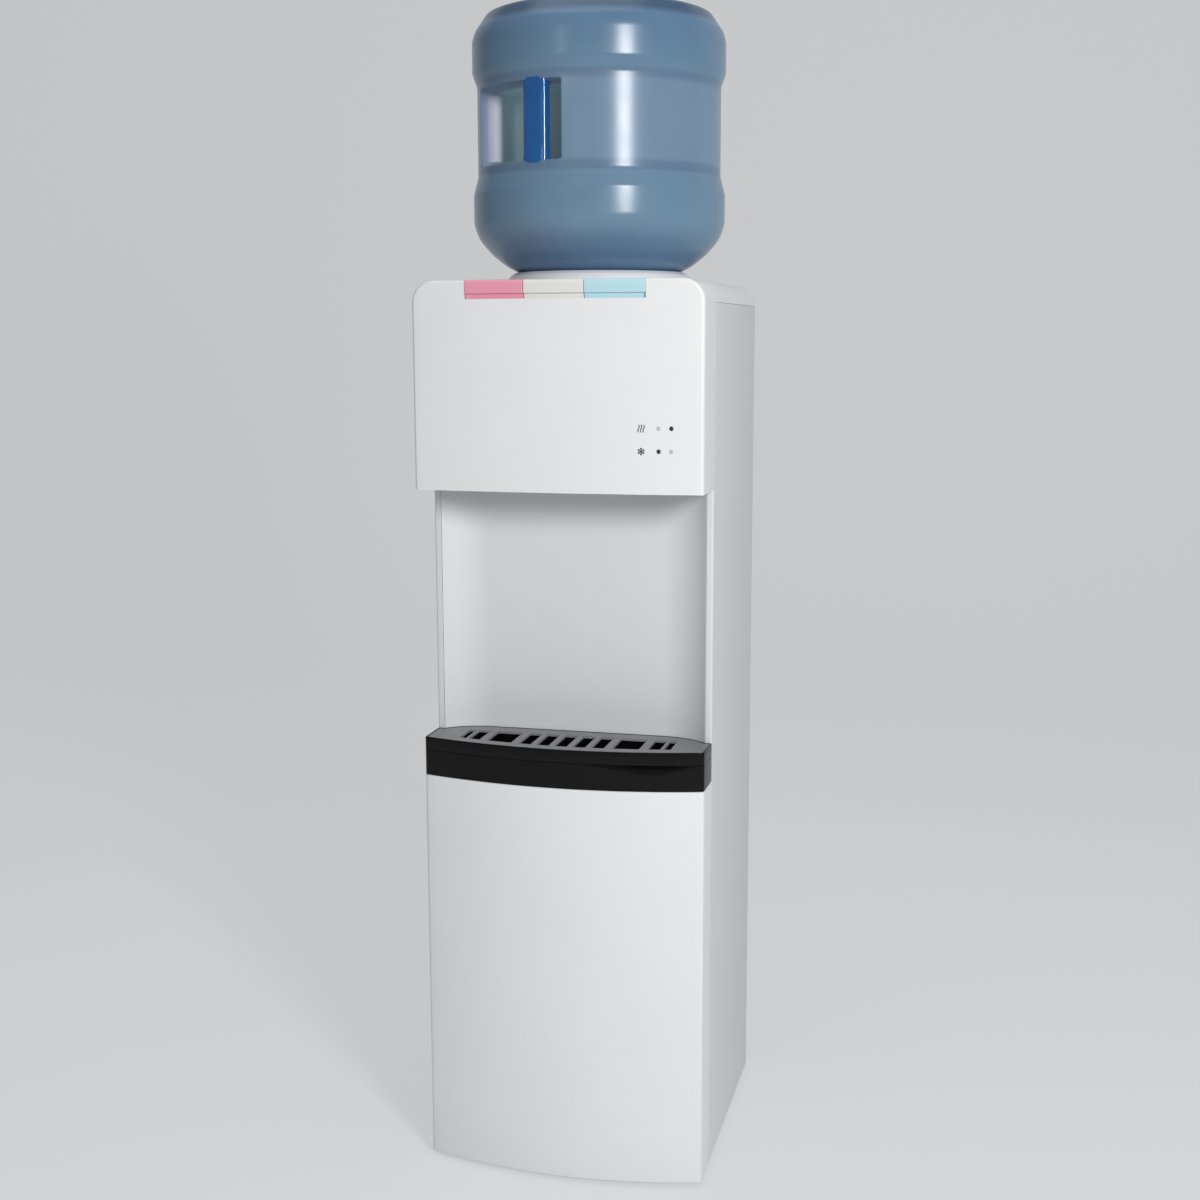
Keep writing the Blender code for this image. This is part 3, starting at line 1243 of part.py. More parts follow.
def compressor():
    """The compressor: a domed can on a plate with four legs on the base pan."""
    plate_low = PAN_TOP + GAP + COMPRESSOR_LEG
    plate_high = plate_low + COMPRESSOR_PLATE
    high = plate_high + COMPRESSOR_HEIGHT
    radius = COMPRESSOR_RADIUS
    can_height = high - plate_low
    profile = [(across * radius, plate_low + up * can_height) for across, up in COMPRESSOR_SHARES]
    can = turned("compressor", profile, (0, COMPRESSOR_Y, 0), "black_enamel", CAN_SIDES)
    low = (-COMPRESSOR_PLATE_HALF_X, COMPRESSOR_Y - COMPRESSOR_PLATE_HALF_Y, plate_low)
    high_corner = (COMPRESSOR_PLATE_HALF_X, COMPRESSOR_Y + COMPRESSOR_PLATE_HALF_Y, plate_high)
    join(can, box("joined_compressor_plate", low, high_corner, "black_enamel"))
    reach_x = COMPRESSOR_PLATE_HALF_X - COMPRESSOR_LEG_RADIUS
    reach_y = COMPRESSOR_PLATE_HALF_Y - COMPRESSOR_LEG_RADIUS
    for i, (x, y) in enumerate(((-1, -1), (1, -1), (1, 1), (-1, 1))):
        centre = (x * reach_x, COMPRESSOR_Y + y * reach_y, 0)
        leg_low = PAN_TOP + GAP
        leg_high = plate_low + GAP
        radius = COMPRESSOR_LEG_RADIUS
        leg = rod(f"joined_pad_{i}", centre, radius, leg_low, leg_high, "black_enamel", SMALL_SIDES)
        join(can, leg)


def condenser():
    """The condenser: one tube in level rows across the back, on two rails, down to the compressor."""
    y = BACK_Y + CONDENSER_STANDOFF
    bend = CONDENSER_PITCH / 2
    reach = CONDENSER_HALF - bend
    route = []
    for row in range(CONDENSER_ROWS):
        side = 1 if row % 2 else -1
        z = CONDENSER_BOTTOM + row * CONDENSER_PITCH
        route += [(-side * reach, y, z), (side * reach, y, z)]
        if row == CONDENSER_ROWS - 1:
            continue
        for step in range(1, ARC_STEPS):
            turn = math.pi * step / ARC_STEPS
            route.append((side * (reach + bend * math.sin(turn)), y, z + bend * (1 - math.cos(turn))))
    meet_z = PAN_TOP + COMPRESSOR_HEIGHT / 2
    corner = CONDENSER_HALF - CONDENSER_TUBE
    run_y = COMPRESSOR_Y + COMPRESSOR_RADIUS / 4
    lead = [
        (COMPRESSOR_RADIUS + GAP, run_y, meet_z),
        (corner - bend, run_y, meet_z),
        (corner, run_y + bend / 2, meet_z + bend / 2),
        (corner, y, meet_z + 2 * bend),
        (corner, y, CONDENSER_BOTTOM - 2 * bend),
        (corner - bend / 2, y, CONDENSER_BOTTOM - bend / 2),
    ]
    tube = pipe("condenser", lead + route, CONDENSER_TUBE, "black_enamel", TUBE_SIDES)
    drier_z = (meet_z + BACK_PANEL_BOTTOM) / 2 + bend
    place = (corner, y, drier_z)
    join(tube, rod("joined_drier", place, DRIER_RADIUS, 0, DRIER_LENGTH, "black_enamel", ROD_SIDES))
    rail_low = CONDENSER_BOTTOM - bend
    rail_high = CONDENSER_BOTTOM + (CONDENSER_ROWS - 1) * CONDENSER_PITCH + bend / 2
    for i, side in enumerate((-1, 1)):
        x = side * (reach - RAIL_WIDTH)
        low = (x - RAIL_WIDTH / 2, BACK_Y + GAP, rail_low)
        high = (x + RAIL_WIDTH / 2, y, rail_high)
        join(tube, box(f"joined_rail_{i}", low, high, "black_enamel"))


def switch_plate():
    """The rear plate with two rocker switches and the mains inlet."""
    low_z = PLATE_MIDDLE_Z - PLATE_HEIGHT / 2
    high_z = PLATE_MIDDLE_Z + PLATE_HEIGHT / 2
    face = BACK_Y + GAP + PLATE_THICKNESS
    corners = ((PLATE_LEFT, BACK_Y + GAP, low_z), (PLATE_RIGHT, face, high_z))
    plate = box("switch_plate", *corners, "black_enamel")
    shroud_x = INLET_HALF_WIDTH + INLET_WALL
    shroud_z = INLET_HALF_HEIGHT + INLET_WALL
    shroud = box(
        "joined_inlet",
        (INLET_X - shroud_x, face - INLET_DEPTH - INLET_WALL, PLATE_MIDDLE_Z - shroud_z),
        (INLET_X + shroud_x, face - GAP, PLATE_MIDDLE_Z + shroud_z),
        "black_enamel",
    )
    join(plate, shroud)
    socket = box(
        "cutter_inlet",
        (INLET_X - INLET_HALF_WIDTH, face - INLET_DEPTH, PLATE_MIDDLE_Z - INLET_HALF_HEIGHT),
        (INLET_X + INLET_HALF_WIDTH, face + OVERRUN, PLATE_MIDDLE_Z + INLET_HALF_HEIGHT),
        "black_enamel",
    )
    cut(plate, socket)
    pivot_y = face - ROCKER_THICKNESS / 4
    for x, name, slot in zip(ROCKER_XS, ("hot_switch", "cold_switch"), ("red_rocker", "green_rocker")):
        reach_x = ROCKER_HALF_WIDTH + ROCKER_CLEARANCE
        reach_z = ROCKER_HALF_HEIGHT + ROCKER_CLEARANCE
        window = box(
            f"cutter_{name}",
            (x - reach_x, BACK_Y - OVERRUN, PLATE_MIDDLE_Z - reach_z),
            (x + reach_x, face + OVERRUN, PLATE_MIDDLE_Z + reach_z),
            "black_enamel",
        )
        cut(plate, window)
        outline = [
            (-ROCKER_THICKNESS / 2, -ROCKER_HALF_HEIGHT),
            (ROCKER_THICKNESS / 2, -ROCKER_HALF_HEIGHT),
            (ROCKER_THICKNESS / 3, 0),
            (ROCKER_THICKNESS / 2, ROCKER_HALF_HEIGHT),
            (-ROCKER_THICKNESS / 2, ROCKER_HALF_HEIGHT),
        ]
        rocker = prism(name, outline, -ROCKER_HALF_WIDTH, ROCKER_HALF_WIDTH, slot, "X")
        rocker.data.transform(Matrix.Rotation(-ROCKER_TILT, 4, "X"))
        rocker.location = (x, pivot_y, PLATE_MIDDLE_Z)


def clear_scene():
    """Removes what a new file holds."""
    for found in list(bpy.data.objects):
        bpy.data.objects.remove(found)


def main():
    clear_scene()
    side_panels()
    top_cover()
    head_panel()
    head_floor()
    niche_liner()
    lower_front_panel()
    tray_band()
    drip_tray()
    drip_grille()
    base_and_feet()
    back_panel()
    bottle()
    collar_and_probe()
    button_frame()
    buttons()
    taps_and_rods()
    indicator_lights()
    cold_tank()
    hot_tank()
    hoses()
    compressor()
    condenser()
    switch_plate()
    cabinet = bpy.data.objects.new("water_cooler", None)
    bpy.context.collection.objects.link(cabinet)
    for piece in bpy.data.objects:
        if piece is not cabinet:
            piece.parent = cabinet


main()
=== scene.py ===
"""A free-standing bottle water cooler: a slim white cabinet with three push buttons, a cup niche
over a drip tray, and an inverted blue bottle with a built-in handle.

The solid frame gives every body, joint and box; each operator below makes one piece, or a group
of like pieces, as a surface that lies where the frame has it.
"""

import math

import bmesh
import bpy
import numpy as np
from mathutils import Matrix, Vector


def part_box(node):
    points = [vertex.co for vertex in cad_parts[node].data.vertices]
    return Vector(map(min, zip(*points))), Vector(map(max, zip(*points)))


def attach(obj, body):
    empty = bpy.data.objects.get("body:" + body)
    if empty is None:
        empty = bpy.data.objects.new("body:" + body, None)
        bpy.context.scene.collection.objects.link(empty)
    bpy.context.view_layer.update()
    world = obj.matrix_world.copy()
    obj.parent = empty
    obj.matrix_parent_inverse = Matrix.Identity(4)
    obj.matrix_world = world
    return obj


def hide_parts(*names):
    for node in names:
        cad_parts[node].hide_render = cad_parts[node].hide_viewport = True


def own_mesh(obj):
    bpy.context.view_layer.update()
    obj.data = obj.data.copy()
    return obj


bl_info = {
    "name": "Bottle Water Cooler",
    "version": (1, 0, 0),
    "blender": (4, 5, 0),
    "location": "View3D > Sidebar > Cooler",
    "description": "Makes the visible pieces of a bottle water cooler on its solid frame",
    "category": "Add Mesh",
}

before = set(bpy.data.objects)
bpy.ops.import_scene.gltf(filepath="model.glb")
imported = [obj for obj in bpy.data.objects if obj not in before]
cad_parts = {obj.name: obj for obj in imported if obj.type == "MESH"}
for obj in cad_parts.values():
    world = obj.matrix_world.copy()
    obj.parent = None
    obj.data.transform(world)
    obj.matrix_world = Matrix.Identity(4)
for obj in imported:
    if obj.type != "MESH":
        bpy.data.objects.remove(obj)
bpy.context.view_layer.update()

MM = 0.001
X, Y, Z = 0, 1, 2
WELD = 2e-6  # Points that are closer than this become one.
SHARP = math.radians(32.0)  # Faces that meet at more than this keep a sharp edge.
ROUND = 96  # Columns of a large turned shape.


def low(node):
    """A solid's lowest corner."""
    return np.array(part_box(node)[0])


def high(node):
    """A solid's highest corner."""
    return np.array(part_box(node)[1])


def middle(node):
    """The middle of a solid's box."""
    return (low(node) + high(node)) / 2


HALF = high("top_cover")[X]
FRONT = low("head_panel")[Y]
REAR = high("top_cover")[Y]
SEAM_Y = high("head_panel")[Y]
CABINET_TOP = high("top_cover")[Z]
HEAD_BOTTOM = low("head_panel")[Z]
SHOULDER_Z = high("left_side_panel")[Z]
PANEL_BOTTOM = low("lower_front_panel")[Z]
PANEL_TOP = high("lower_front_panel")[Z]
BAND_BOTTOM = low("tray_band")[Z]
BAND_TOP = high("tray_band")[Z]
TRAY_LOW = low("drip_tray")[Z]
TRAY_TOP = high("drip_tray")[Z]
NICHE_LOW = low("niche_liner")[Z]
NICHE_TOP = high("niche_liner")[Z]
BUTTON_LEFTS = [low(f"{name}_button")[X] for name in ("hot", "room", "cold")]
BUTTON_RIGHTS = [high(f"{name}_button")[X] for name in ("hot", "room", "cold")]
NOTCH_HALF = BUTTON_RIGHTS[2] + 0.3 * MM  # Half the width of the head's notch for the buttons.
NOTCH_Z = CABINET_TOP - 18.7 * MM
BUTTON_BACK = high("hot_button")[Y]
BUTTON_LOW = low("hot_button")[Z]
BOTTLE_Y = middle("bottle_collar")[Y]
BOTTLE_TOP = high("bottle")[Z]
NECK_END = low("bottle")[Z]
COLLAR_TOP = high("bottle_collar")[Z]
BACK_FACE = high("back_panel")[Y]
BOTTLE_AXIS = (0.0, BOTTLE_Y)


def shade(red, green, blue):
    """A colour as a screen shows it, from 0 to 255, turned into light values.

    Each channel c becomes c/12.92 below 0.04045 and ((c + 0.055)/1.055) to the power 2.4 above it.
    """
    channel = np.array((red, green, blue)) / 255
    return tuple(np.where(channel < 0.04045, channel / 12.92, ((channel + 0.055) / 1.055) ** 2.4))


def length(name, description, millimetres):
    """A setting in metres, whose usual value is given in millimetres."""
    return bpy.props.FloatProperty(
        name=name,
        description=description,
        default=millimetres * MM,
        min=0.0,
        max=1.0,
        precision=4,
        subtype="DISTANCE",
        unit="LENGTH",
    )


def share(name, description, default, most=1.0):
    """A setting without a unit."""
    return bpy.props.FloatProperty(name=name, description=description, default=default, min=0.0, max=most)


def number(name, description, default):
    """A count."""
    return bpy.props.IntProperty(name=name, description=description, default=default, min=1, max=400)


def colour(name, holder, red, green, blue):
    """A colour setting, given as a screen shows it and held in light values."""
    return bpy.props.FloatVectorProperty(
        name=name,
        description="Colour of " + holder,
        default=shade(red, green, blue),
        size=3,
        min=0.0,
        max=1.0,
        subtype="COLOR",
    )


class CabinetSettings(bpy.types.PropertyGroup):
    """Sizes and colours of the painted cabinet and its moulded panels."""

    head_bow: length("Head bow", "How far the head's front bows out in the middle", 8)
    front_bow: length("Front bow", "How far the lower front bows out in the middle", 22)
    corner_radius: length("Top corner radius", "Radius of the two upper corners in front view", 22)
    edge_radius: length("Edge radius", "Rounding between a front and its sides", 3.2)
    corner_fold: length("Fold radius", "Rounding of the folded sheet's corners", 2.2)
    rim: length("Rim rounding", "Rounding of a panel's open rims", 0.45)
    wall: length("Moulded wall", "Thickness of the moulded panels", 2.5)
    sheet: length("Sheet", "Thickness of the painted side panels", 1.0)
    niche_radius: length("Niche radius", "Radius of the niche's two curved sides", 68)
    niche_depth: length("Niche depth", "How far the niche lies behind the flanges", 20)
    flange: length("Flange", "Width of the side panels' front flanges", 7)
    shell: colour("Moulded white", "the head, cover and lower front", 238, 239, 240)
    paint: colour("Paint", "the painted side panels", 224, 225, 227)
    liner: colour("Liner", "the niche's back and the head's floor", 222, 224, 226)


class TraySettings(bpy.types.PropertyGroup):
    """Sizes and colours of the drip tray, its band and its grille."""

    scoop_depth: length("Finger scoop depth", "Reach of the finger scoop in under the lip", 4.5)
    scoop_low: length("Finger scoop height", "Height of the finger scoop", 7.5)
    lip_radius: length("Lip radius", "Rounding of the tray's upper edge", 1.1)
    trim: colour("Black trim", "the tray and its band", 13, 13, 14)
    grille: colour("Grille", "the slotted plate", 136, 136, 138)
    # Painted light: a pale grey laid on the basin's upward faces low in the tray, so that the grille's
    # shadowed slots read lighter, as if light reached down into the basin.
    painted_basin_light: colour("Lime bloom", "the dried lime low in the tray's basin", 176, 176, 172)


class ButtonSettings(bpy.types.PropertyGroup):
    """Sizes and colours of the three push buttons."""

    height: length("Face height", "Height of a button's face above its set-back skirt", 13.5)
    step: length("Skirt setback", "How far the skirt lies behind the face", 2.9)
    nose: length("Front edge radius", "Rounding of a button's upper front edge", 3.2)
    hot: colour("Hot", "the hot button", 242, 160, 180)
    room: colour("Room", "the room button", 234, 233, 230)
    cold: colour("Cold", "the cold button", 190, 228, 238)


class LightSettings(bpy.types.PropertyGroup):
    """Sizes and colours of the four lights and the two symbols."""

    lens_proud: length("Lens height", "How far a lens stands out of the head", 0.6)
    symbol_height: length("Symbol height", "Height of a symbol beside the lights", 7.5)
    clear: colour("Clear lens", "the pale lenses", 196, 198, 196)
    dark: colour("Dark lens", "the dark lenses", 38, 38, 42)
    ink: colour("Symbol ink", "the printed symbols", 44, 44, 48)


class BottleSettings(bpy.types.PropertyGroup):
    """Sizes and colours of the bottle, its handle, its cap and its collar."""

    wall: length("Bottle wall", "Thickness of the bottle's wall", 2)
    pocket_depth: length("Pocket depth", "Depth of the pocket behind the handle", 44)
    handle_width: length("Handle width", "Width of the upright handle", 28)
    handle_thickness: length("Handle thickness", "Depth of the upright handle", 14.5)
    tint: colour("Bottle tint", "the bottle's clear plastic", 124, 160, 186)
    # Painted shade: this darker tint is laid by height where the bottle turns away, at its shoulder, ribs
    # and top, and also stands in for the denser look of plastic seen edge on; darkened further, it paints
    # the base band and the pocket's rims.
    deep: colour("Deep tint", "the plastic where much of it is seen at once", 66, 106, 158)
    # Painted light: a pale tint on the pocket's floor, standing in for light let through the bottle into
    # the shadowed pocket.
    pocket_light: colour("Thin tint", "the plastic where it is drawn thin, in the pocket", 206, 240, 248)
    grip: colour("Handle tint", "the thick plastic of the handle", 20, 90, 158)
    cap: colour("Cap", "the cap and the lids", 236, 237, 238)


class RearSettings(bpy.types.PropertyGroup):
    """Sizes and colours of the pieces at the back and underneath."""

    tube: length("Condenser tube", "Radius of the condenser's tube", 2.5)
    wire: length("Condenser wire", "Radius of the condenser's upright wires", 0.7)
    wires: number("Wires", "Upright wires on each face of the condenser", 36)
    enamel: colour("Black enamel", "the condenser and the compressor", 30, 30, 32)
    zinc: colour("Zinc", "the zinc-plated sheet", 176, 180, 184)
    steel: colour("Steel", "bright steel", 198, 200, 202)
    rubber: colour("Rubber", "the feet", 32, 32, 33)


class StageSettings(bpy.types.PropertyGroup):
    """The floor, the lights and the camera."""

    floor: colour("Floor", "the floor and the backdrop", 226, 227, 229)
    glow: share("Backdrop glow", "How much of its own colour the backdrop shows in any light", 0.6)
    key: share("Key light", "Strength of the large light at the front right", 34.0, 1000.0)
    glint: share("Left light", "Strength of the small light at the front left", 0.8, 1000.0)
    top: share("Top light", "Strength of the light overhead", 14.0, 1000.0)
    fill: share("Fill", "Strength of the even light from all round", 0.23, 5.0)
    lens: share("Lens", "Focal length of the camera in millimetres, on a 36 mm sensor", 49.14, 400.0)


SETTINGS = {
    "cooler_cabinet": CabinetSettings,
    "cooler_tray": TraySettings,
    "cooler_buttons": ButtonSettings,
    "cooler_lights": LightSettings,
    "cooler_bottle": BottleSettings,
    "cooler_rear": RearSettings,
    "cooler_stage": StageSettings,
}


def settings(group):
    """The settings of one group, as the scene holds them."""
    return getattr(bpy.context.scene, "cooler_" + group)


# Finishes

FINISHES = {}
BLACK, WHITE = (0, 0, 0), (1, 1, 1)
STAINLESS = shade(188, 190, 192)
COPPER = shade(196, 118, 84)
TAP_WHITE = shade(232, 232, 230)
HOSE_WHITE = shade(222, 224, 220)
FOAM_WHITE = shade(228, 226, 214)
HIDDEN_GREY = shade(150, 152, 154)
BOARD_TONE = shade(30, 92, 58)
ROCKER_TONES = {"hot": shade(196, 38, 34), "cold": shade(34, 140, 74)}

# Places on the bottle, as shares of its height over the collar, with how much painted shade is laid there:
# the deep tint where the bottle turns away at its shoulder, ribs and top.
SHADE_DEPTHS = (
    (0.0, 1.0),
    (0.08, 0.45),
    (0.18, 0.0),
    (0.33, 0.2),
    (0.42, 0.0),
    (0.7, 0.0),
    (0.78, 0.3),
    (0.93, 0.55),
    (1.0, 0.7),
)
# Painted shade: a near-black band of the deep tint where the base turns in.
BASE_SHADE_BAND = (0.955, 0.985)
# Over the pocket's height: the band where painted light is laid, and the upper and lower rims, where
# painted shade is laid.
POCKET_LIGHT_BAND = ((0.37, 0), (0.39, 1), (0.71, 1), (0.73, 0))
POCKET_RIM_SHADE = ((0.36, 0), (0.37, 1), (0.395, 1), (0.41, 0), (0.69, 0), (0.705, 1), (0.73, 1), (0.74, 0))
# Radii in metres from the bottle's axis, from its waist in to the pocket's floor: painted light on the
# waist and the floor, painted shade on the rims.
WAIST_LIGHT_RADII = ((0.1275, 1), (0.1296, 0))
RIM_SHADE_RADII = ((0.108, 0), (0.114, 1), (0.1275, 1), (0.1296, 0))
FLOOR_LIGHT_RADII = ((0.104, 1), (0.114, 0))


def blended(first, second, amount):
    """A colour part of the way from one to another."""
    return tuple(a + (b - a) * amount for a, b in zip(first, second))


def put(tree, socket, value):
    """Joins another node's output to a socket, or sets the socket to a value."""
    if isinstance(value, bpy.types.NodeSocket):
        tree.links.new(value, socket)
    else:
        socket.default_value = value


def add(tree, kind, output, options=None, **inputs):
    """Adds a node and gives back its named output.

    options are the node's own choices, which are set first. An input is given by its name, with a low line
    for a space, or by its number as in_0, in_1 and so on.
    """
    made = tree.nodes.new("ShaderNode" + kind)
    for choice, value in (options or {}).items():
        setattr(made, choice, value)
    for name, value in inputs.items():
        place = int(name[3:]) if name.startswith("in_") else name.replace("_", " ")
        put(tree, made.inputs[place], value)
    return made.outputs[output]


def joined(tree, operation, first, second, **options):
    """One number worked out from two, such as their product or the larger of them."""
    return add(tree, "Math", "Value", {"operation": operation, **options}, in_0=first, in_1=second)


def mixed(tree, amount, first, second):
    """A mix of two colours by an amount of the second."""
    return add(tree, "Mix", "Result", {"data_type": "RGBA"}, Factor=amount, A=first, B=second)


def ramp(tree, source, stops):
    """A colour or a grey that goes straight from one (place, value) stop to the next."""
    made = tree.nodes.new("ShaderNodeValToRGB")
    elements = made.color_ramp.elements
    stops = [(place, [float(part) for part in (*np.broadcast_to(value, 3), 1)]) for place, value in stops]
    first, *between, last = stops
    for element, stop in zip(list(elements), (first, last)):
        element.position, element.color = stop
    for place, value in between:
        elements.new(place).color = value
    tree.links.new(source, made.inputs["Fac"])
    return made.outputs["Color"]


def noise(tree, coordinates, scale, detail, stretch):
    """A cloud pattern on the object's own coordinates, stretched where a finish has a direction."""
    placed = add(tree, "Mapping", "Vector", Scale=stretch, Vector=coordinates)
    return add(tree, "TexNoise", "Fac", Scale=scale, Detail=detail, Vector=placed)


def finish(
    name, base, roughness, tone=0.05, clouds=9.0, grain=700.0, relief=0.04, stretch=(1, 1, 1), **sockets
):
    """A surface finish: a base colour with faint clouds, uneven gloss and a fine moulded or rolled grain.

    The colour runs from slightly darker to slightly lighter than the base with a large cloud pattern;
    the roughness wanders about a tenth either way with a middle one; the finest one gives the relief.
    """
    if name in FINISHES:
        return FINISHES[name]
    material = FINISHES[name] = bpy.data.materials.new(f"{name}_finish")
    material.use_nodes = True
    tree = material.node_tree
    shader = tree.nodes["Principled BSDF"]
    coordinates = add(tree, "TexCoord", "Object")
    lighter = [min(light * (1 + tone * 0.8), 1.0) for light in base]
    tones = ((0.3, blended(base, BLACK, tone)), (0.7, lighter))
    large = noise(tree, coordinates, clouds, 4.0, stretch)
    small = noise(tree, coordinates, clouds * 5, 3.0, stretch)
    finest = noise(tree, coordinates, grain, 2.0, stretch)
    smoothest, roughest = roughness * 0.88, min(roughness * 1.14, 1.0)
    sockets |= {
        "Base Color": ramp(tree, large, tones),
        "Roughness": add(tree, "MapRange", "Result", Value=small, To_Min=smoothest, To_Max=roughest),
        "Normal": add(tree, "Bump", "Normal", Strength=relief, Distance=0.2 * MM, Height=finest),
    }
    for socket, value in sockets.items():
        put(tree, shader.inputs[socket.replace("_", " ")], value)
    return material


def shell_white():
    """Glossy white moulded plastic with a trace of grain."""
    return finish("moulded_white", settings("cabinet").shell, 0.34, 0.015, relief=0.02, Coat_Weight=0.15)


def painted_white():
    """White powder paint on sheet: finer gloss, a light orange-peel relief."""
    paint = settings("cabinet").paint
    return finish("painted_white", paint, 0.42, 0.015, grain=420.0, relief=0.05, Coat_Weight=0.1)


def liner_grey():
    """Satin pale grey plastic of the niche."""
    return finish("liner_grey", settings("cabinet").liner, 0.5, 0.02, relief=0.03)


def black_trim():
    """Glossy black plastic of the tray's band."""
    trim = settings("tray").trim
    return finish("black_trim", trim, 0.2, 0.2, clouds=14.0, relief=0.015, Specular_IOR_Level=0.18)


def tray_black():
    """The tray's black plastic, with painted light low in the basin: a pale grey on what faces up there, so
    that the grille's shadowed slots read lighter.
    """
    tray = settings("tray")
    material = finish("tray_black", tray.trim, 0.24, 0.2, clouds=14.0, relief=0.03, Specular_IOR_Level=0.18)
    tree = material.node_tree
    base = tree.nodes["Principled BSDF"].inputs["Base Color"]
    height = add(tree, "SeparateXYZ", "Z", Vector=add(tree, "TexCoord", "Object"))
    # Painted light: from none 3 mm under the band's top to full 9 mm under it, on faces that look up.
    light_starts, light_full = BAND_TOP - 3 * MM, BAND_TOP - 9 * MM
    sunk = add(tree, "MapRange", "Result", Value=height, From_Min=light_starts, From_Max=light_full)
    facing_up = add(tree, "SeparateXYZ", "Z", Vector=add(tree, "NewGeometry", "Normal"))
    painted_light = joined(tree, "MULTIPLY", sunk, facing_up, use_clamp=True)
    tree.links.new(mixed(tree, painted_light, base.links[0].from_socket, (*tray.painted_basin_light, 1)), base)
    return material


def grille_grey():
    """Satin grey plastic of the slotted plate, scuffed by cups."""
    return finish("grille_grey", settings("tray").grille, 0.46, 0.08, clouds=30.0, relief=0.05)


def button_plastic(kind):
    """Glossy plastic of one button."""
    tint = getattr(settings("buttons"), kind)
    return finish(f"button_{kind}", tint, 0.26, 0.03, relief=0.015, Coat_Weight=0.3)


def lens_plastic(kind):
    """Clear or smoked plastic of a light's lens."""
    tint, tone = getattr(settings("lights"), kind), {"clear": 0.06, "dark": 0.2}[kind]
    return finish(f"lens_{kind}", tint, 0.14, tone, relief=0.02, Coat_Weight=0.6)


def symbol_ink():
    """Matt ink of the printed symbols."""
    return finish("symbol_ink", settings("lights").ink, 0.6, 0.08, relief=0.0)


def black_enamel():
    """Stoved black enamel, slightly uneven."""
    enamel = settings("rear").enamel
    return finish("black_enamel", enamel, 0.38, 0.15, clouds=22.0, grain=380.0, relief=0.08)


def zinc_sheet():
    """Zinc-plated sheet with cloudy crystals and a faint rolling direction."""
    zinc, rolled = settings("rear").zinc, (1, 1, 0.35)
    return finish("zinc_sheet", zinc, 0.36, 0.16, clouds=28.0, grain=260.0, stretch=rolled, Metallic=1.0)


def bright_steel():
    """Bright drawn steel with fine lengthwise lines."""
    steel, drawn = settings("rear").steel, (1, 1, 0.1)
    return finish("bright_steel", steel, 0.2, 0.06, clouds=40.0, grain=900.0, stretch=drawn, Metallic=1.0)


def brushed_stainless():
    """Brushed stainless steel of the tanks, its lines running round them."""
    brushed = (0.2, 0.2, 8)
    return finish("brushed_stainless", STAINLESS, 0.28, 0.08, clouds=20.0, stretch=brushed, Metallic=1.0)


def copper_tube():
    """Drawn copper tube, a little tarnished."""
    return finish("copper_tube", COPPER, 0.3, 0.14, clouds=50.0, grain=420.0, Metallic=1.0)


def foot_rubber():
    """Matt black rubber."""
    return finish("foot_rubber", settings("rear").rubber, 0.82, 0.2, clouds=60.0, grain=500.0, relief=0.12)


def spout_plastic():
    """White plastic of the taps, pipes and rods."""
    return finish("spout_plastic", TAP_WHITE, 0.36, 0.03, relief=0.03)


def cap_plastic():
    """Soft white plastic of caps and lids."""
    return finish("cap_plastic", settings("bottle").cap, 0.44, 0.03, relief=0.04, Subsurface_Weight=0.05)


def moulding_grey():
    """Plain grey plastic of the hidden button frame and the feed probe."""
    return finish("moulding_grey", HIDDEN_GREY, 0.48, 0.06, relief=0.05)


def rocker_plastic(kind):
    """Glossy coloured plastic of a rear switch's rocker."""
    return finish(f"rocker_{kind}", ROCKER_TONES[kind], 0.22, 0.08, relief=0.02, Coat_Weight=0.4)


def white_foam():
    """Closed-cell foam round the tanks."""
    return finish("white_foam", FOAM_WHITE, 0.85, 0.05, clouds=60.0, grain=240.0, relief=0.3)


def silicone():
    """Milky silicone rubber of the hoses."""
    return finish("silicone", HOSE_WHITE, 0.4, 0.04, clouds=30.0, relief=0.03, Subsurface_Weight=0.1)


def board_green():
    """Green lacquer of the lights' circuit board."""
    return finish("board_green", BOARD_TONE, 0.4, 0.15, clouds=80.0, grain=600.0)


